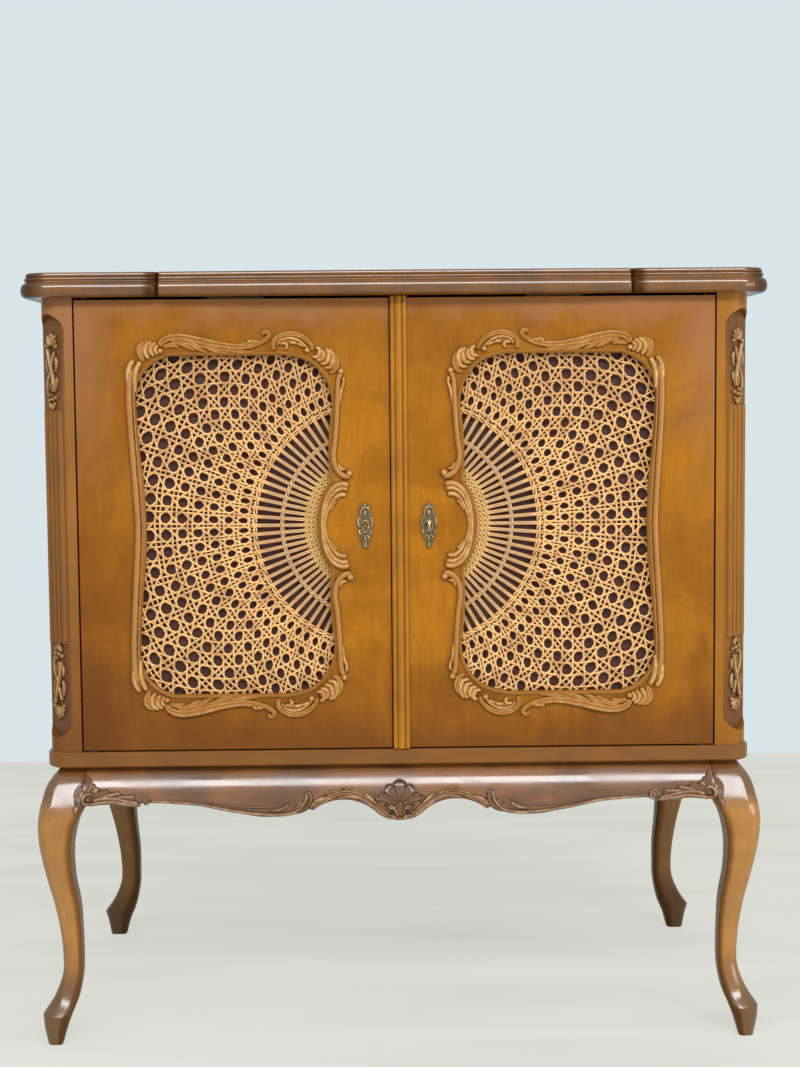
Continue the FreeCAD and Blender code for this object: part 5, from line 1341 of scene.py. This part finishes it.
def ray_pitch(radius):
    """Angle between two ray pairs at a radius, in radians."""
    return math.radians(RAY_PITCH + RAY_PITCH_GAIN * min(1, max(0, (radius - GAIN_RADIUS) / GAIN_RUN)))


def sway(index, along):
    """A small steady waver that differs from strand to strand."""
    return math.sin(1.9 * along + 2.4 * index) * 0.6 + math.sin(4.3 * along + 5.1 * index) * 0.4


def cut_to_panel(shape, samples):
    """Points of a strand in metres, cut where it leaves the panel; a sample is radius, angle and lift."""
    near_side = CANE_LOW.x - shape.fan_centre + SIDE_MARGIN
    far_side = CANE_HIGH.x - shape.fan_centre - SIDE_MARGIN
    half_high = (CANE_HIGH.z - CANE_LOW.z) / 2 - END_MARGIN
    runs, run = [], []
    for radius, angle, lift in samples:
        x, y = radius * MM * math.cos(angle), radius * MM * math.sin(angle)
        if near_side < x < far_side and abs(y) < half_high and abs(angle) < math.pi / 2:
            run.append((x, y, lift))
        else:
            runs.append(run)
            run = []
    return [r for r in [*runs, run] if len(r) > 2]


def ray_places(parts):
    """Places along a ring, in ray pitches, with so many to a pitch."""
    return [i / parts for i in range(-parts * NET_REACH, parts * NET_REACH + 1)]


def ring_places():
    """Places along a ray, in ring pitches, with four to a pitch."""
    return [i / 4 for i in range(4 * len(RING_RADII) - 3)]


def ring_lines(shape):
    """Ring pairs of the net, in metres from the fan's middle."""
    lines = []
    for m in range(len(RING_RADII)):
        for offset in (-shape.ring_gap, shape.ring_gap):
            samples = []
            for k in ray_places(4):
                radius = ring_radius(m + offset + RING_SWAY * sway(m + offset, k))
                depth = shape.weave_depth * math.cos(math.pi * (k + m))
                samples.append((radius, k * ray_pitch(radius), depth))
            lines += cut_to_panel(shape, samples)
    return lines


def ray_lines(shape):
    """Ray pairs of the net."""
    lines = []
    for k in range(-RAYS, RAYS + 1):
        for offset in (-1, 1):
            samples = []
            for m in ring_places():
                radius = ring_radius(m)
                pitch = ray_pitch(radius)
                apart = max(RAY_GAP * pitch, LEAST_RAY_GAP / radius)
                angle = (k + RAY_SWAY * sway(k * 0.7 + offset, m)) * pitch + offset * apart
                samples.append((radius, angle, -shape.weave_depth * math.cos(math.pi * (k + m))))
            lines += cut_to_panel(shape, samples)
    return lines


def slant_lines(shape):
    """Slanting strands of the net, which lean both ways."""
    lines = []
    for n in range(-SLANTS, SLANTS + 1):
        for lean in (1, -1):
            samples = []
            for m in ring_places():
                k = n + 0.5 + lean * m + SLANT_SWAY * sway(n * 0.6 + lean, m)
                radius = ring_radius(m)
                depth = lean * shape.cross_depth * math.cos(math.tau * m)
                samples.append((radius, k * ray_pitch(radius), depth))
            lines += cut_to_panel(shape, samples)
    return lines


def binding_lines(shape):
    """Pairs of strands that bind the fan's sticks."""
    lines = []
    for radius, wave in BINDINGS:
        for phase in (0, math.pi):
            lines += cut_to_panel(shape, [
                (radius + wave * math.sin(math.pi * k + phase), k * ray_pitch(radius),
                 BINDING_DEPTH * math.cos(math.pi * k + phase)) for k in ray_places(4)])
    return lines


def stick_lines(shape):
    """Pairs of the fan's sticks."""
    radii = [STICK_START + (RING_RADII[0] - STICK_START) * i / STICK_STEPS for i in range(STICK_STEPS + 1)]
    lines = []
    for k in range(-RAYS, RAYS + 1):
        for offset in (-1, 1):
            lines += cut_to_panel(shape, [
                (r, k * ray_pitch(r) + offset * STICK_GAP / r, STICK_LIFT * offset) for r in radii])
    return lines


def band_lines(shape):
    """Strands of the tight band."""
    lines = []
    for row in range(BAND_ROWS):
        radius = BAND_RADIUS + BAND_PITCH * row
        lines += cut_to_panel(shape, [
            (radius, k * ray_pitch(radius), shape.basket_depth * math.cos(math.pi * (2 * k + row)))
            for k in ray_places(8)])
    return lines


class CABINET_OT_cane(bpy.types.Operator):
    """Weave the fan-shaped cane panels of both doors"""
    bl_idname = "cabinet.cane"
    bl_label = "Cane panels"

    def execute(self, context):
        shape = context.scene.cabinet_shape
        net = ring_lines(shape) + ray_lines(shape) + slant_lines(shape) + binding_lines(shape)
        sticks, basket = stick_lines(shape), band_lines(shape)
        if not (net and sticks and basket):
            raise RuntimeError("the cane panel has no strands")
        tree, finish = strand_tree(), finish_named("cane")
        wide, thick = shape.strand_width, shape.strand_thickness
        parts = [
            lay_strands(tree, net, Width=wide, Thickness=thick, Sides=5, Finish=finish),
            lay_strands(tree, sticks, Width=wide * STICK_WIDTH, Thickness=thick * STICK_THICKNESS, Sides=6,
                        Finish=finish),
            lay_strands(tree, basket, Width=shape.basket_width, Thickness=shape.basket_thickness, Sides=5,
                        Finish=finish),
        ]
        for side, sign in SIDES:
            woven = bmesh.new()
            for part in parts:
                woven.from_mesh(part)
            turn = Matrix(((sign, 0, 0, sign * shape.fan_centre), (0, 0, -1, CANE_MIDDLE),
                           (0, 1, 0, DOOR_MIDDLE), (0, 0, 0, 1)))
            bmesh.ops.transform(woven, matrix=turn, verts=woven.verts)
            bmesh.ops.recalc_face_normals(woven, faces=woven.faces)
            mesh = bpy.data.meshes.new(f"{side}_cane_weave")
            woven.to_mesh(mesh)
            woven.free()
            mesh.shade_smooth()
            piece(f"{side}_cane_weave", mesh, "cane", f"{side}_door", "cane", f"{side}_cane_panel")
        for part in parts:
            bpy.data.meshes.remove(part)
        bpy.data.node_groups.remove(tree)
        return {"FINISHED"}


class CABINET_OT_keyhole_plates(bpy.types.Operator):
    """Chase the relief on both keyhole plates"""
    bl_idname = "cabinet.keyhole_plates"
    bl_label = "Keyhole plates"

    def execute(self, context):
        middle = (PLATE_LOW + PLATE_HIGH) / 2
        for side, sign in SIDES:

            def place(across, up, height):
                return Vector((sign * (middle.x + across * MM), PLATE_LOW.y - height * MM,
                               middle.z + up * MM))

            relief = Carving(place, sink=0.4)
            relief.strokes(PLATE_STROKES, (1, 1), steps=6)
            relief.strokes(PLATE_PAIRS, *BOTH_HALVES, steps=6)
            for a, b, radius in PLATE_BEADS:
                relief.bead(a, b, radius, crest=radius)
            name = f"{side}_plate_relief"
            piece(name, relief.mesh(name), "aged_brass", f"{side}_door", "aged_brass")
        return {"FINISHED"}


def soft_lamp(name, power, size, place, aim):
    """A large soft lamp that points at a place."""
    lamp = bpy.data.lights.new(name, "AREA")
    lamp.shape = "RECTANGLE"
    lamp.size, lamp.size_y = size
    lamp.energy = power
    lamp.color = LAMP_COLOUR
    made = placed(name, lamp)
    made.location = place
    made.rotation_mode = "QUATERNION"
    made.rotation_quaternion = (Vector(aim) - Vector(place)).to_track_quat("-Z", "Y")


def rays_that_see(tree):
    """One for rays that show a picture: to the camera, mirrored or through glass."""
    path = node(tree, "ShaderNodeLightPath").outputs
    kinds = ("Camera", "Glossy", "Transmission")
    seen, mirrored, through = (Field(tree, path[f"Is {kind} Ray"]) for kind in kinds)
    return seen.most(mirrored.most(through))


class CABINET_OT_stage(bpy.types.Operator):
    """Set up the floor, the backdrop, the light and the camera"""
    bl_idname = "cabinet.stage"
    bl_label = "Stage"

    def execute(self, context):
        scene = context.scene
        stage = scene.cabinet_stage
        scene.view_settings.view_transform = "Standard"
        self.lay_floor(stage)
        self.light_room(scene, stage)
        self.set_camera(scene)
        return {"FINISHED"}

    def lay_floor(self, stage):
        """A pale floor that ends where the photograph's wall begins."""
        surface = Surface("pale_floor")
        pale = tuple(stage.floor)
        streaks = surface.noise(5, (0.3, 1.6, 1), bend=0.3)
        final = surface.blend(streaks.spread(0.35, 0.7, 0, 1), pale, shaded(pale, 0.93))
        plug(surface.shader, {"Base Color": final, "Roughness": 0.6})
        tree = surface.tree
        glow = node(tree, "ShaderNodeEmission", {"Color": final, "Strength": 1.0})
        shown = rays_that_see(tree) * stage.floor_glow
        both = node(tree, "ShaderNodeMixShader", {0: shown, 1: surface.shader.outputs[0], 2: glow.outputs[0]})
        output = next(n for n in tree.nodes if n.type == "OUTPUT_MATERIAL")
        plug(output, {"Surface": both.outputs[0]})
        mesh = bpy.data.meshes.new("floor")
        mesh.from_pydata(FLOOR_CORNERS, [], [(0, 1, 2, 3)])
        mesh.materials.append(surface.material)
        floor = placed("floor", mesh)

    def light_room(self, scene, stage):
        """Pale backdrop for the camera and reflections, plain light for the rest, and two soft lamps."""
        world = bpy.data.worlds.new("pale_room")
        scene.world = world
        world.use_nodes = True
        tree = world.node_tree
        tree.nodes.clear()
        seen = rays_that_see(tree)
        light = node(tree, "ShaderNodeBackground", {"Color": ROOM_COLOUR, "Strength": stage.room_light})
        wall = node(tree, "ShaderNodeBackground", {"Color": (*stage.wall, 1), "Strength": 1.0})
        mixed = node(tree, "ShaderNodeMixShader", {0: seen, 1: light.outputs[0], 2: wall.outputs[0]})
        node(tree, "ShaderNodeOutputWorld", {"Surface": mixed.outputs[0]})
        soft_lamp("key_lamp", stage.key_power, *KEY_LAMP)
        soft_lamp("fill_lamp", stage.fill_power, *FILL_LAMP)

    def set_camera(self, scene):
        """The photograph's viewpoint."""
        pitch, yaw, roll = (math.radians(a) for a in VIEW_TURNS)
        ahead = Vector((math.sin(yaw) * math.cos(pitch), math.cos(yaw) * math.cos(pitch), -math.sin(pitch)))
        level = Vector((math.cos(yaw), -math.sin(yaw), 0))
        down = ahead.cross(level)
        right = math.cos(roll) * level + math.sin(roll) * down
        fall = -math.sin(roll) * level + math.cos(roll) * down
        view = bpy.data.cameras.new("photo_view")
        view.sensor_width = VIEW_SENSOR
        view.lens = VIEW_SENSOR * VIEW_FOCAL / VIEW_PIXELS
        camera = placed("photo_view", view)
        axes = Matrix((right, -fall, -ahead)).transposed().to_4x4()
        camera.matrix_world = Matrix.Translation(VIEW_PLACE) @ axes
        scene.camera = camera


STEPS = (CABINET_OT_finishes, CABINET_OT_top, CABINET_OT_legs, CABINET_OT_apron, CABINET_OT_post_leaves,
         CABINET_OT_door_carving, CABINET_OT_cane, CABINET_OT_keyhole_plates, CABINET_OT_stage)
GROUPS = {"cabinet_finish": FinishSettings, "cabinet_shape": ShapeSettings, "cabinet_stage": StageSettings}


class CABINET_PT_dressing(bpy.types.Panel):
    """Steps and sizes of the cabinet"""
    bl_idname = "CABINET_PT_dressing"
    bl_label = "Record cabinet"
    bl_space_type = "VIEW_3D"
    bl_region_type = "UI"
    bl_category = "Cabinet"

    def draw(self, context):
        layout = self.layout
        for step in STEPS:
            layout.operator(step.bl_idname)
        for name in GROUPS:
            group = getattr(context.scene, name)
            box = layout.box()
            for key in group.__annotations__:
                box.prop(group, key)


def register():
    """Makes the settings, the steps and the panel known to Blender."""
    for kind in (*GROUPS.values(), *STEPS, CABINET_PT_dressing):
        bpy.utils.register_class(kind)
    for name, group in GROUPS.items():
        setattr(bpy.types.Scene, name, bpy.props.PointerProperty(type=group))


def unregister():
    """Takes them out again."""
    for name in GROUPS:
        delattr(bpy.types.Scene, name)
    for kind in (CABINET_PT_dressing, *reversed(STEPS), *GROUPS.values()):
        bpy.utils.unregister_class(kind)


def main():
    """Dresses the cabinet in order."""
    register()
    bpy.ops.cabinet.finishes()
    bpy.ops.cabinet.top()
    bpy.ops.cabinet.legs()
    bpy.ops.cabinet.apron()
    bpy.ops.cabinet.post_leaves()
    bpy.ops.cabinet.door_carving()
    bpy.ops.cabinet.cane()
    bpy.ops.cabinet.keyhole_plates()
    bpy.ops.cabinet.stage()


if __name__ == "__main__":
    main()
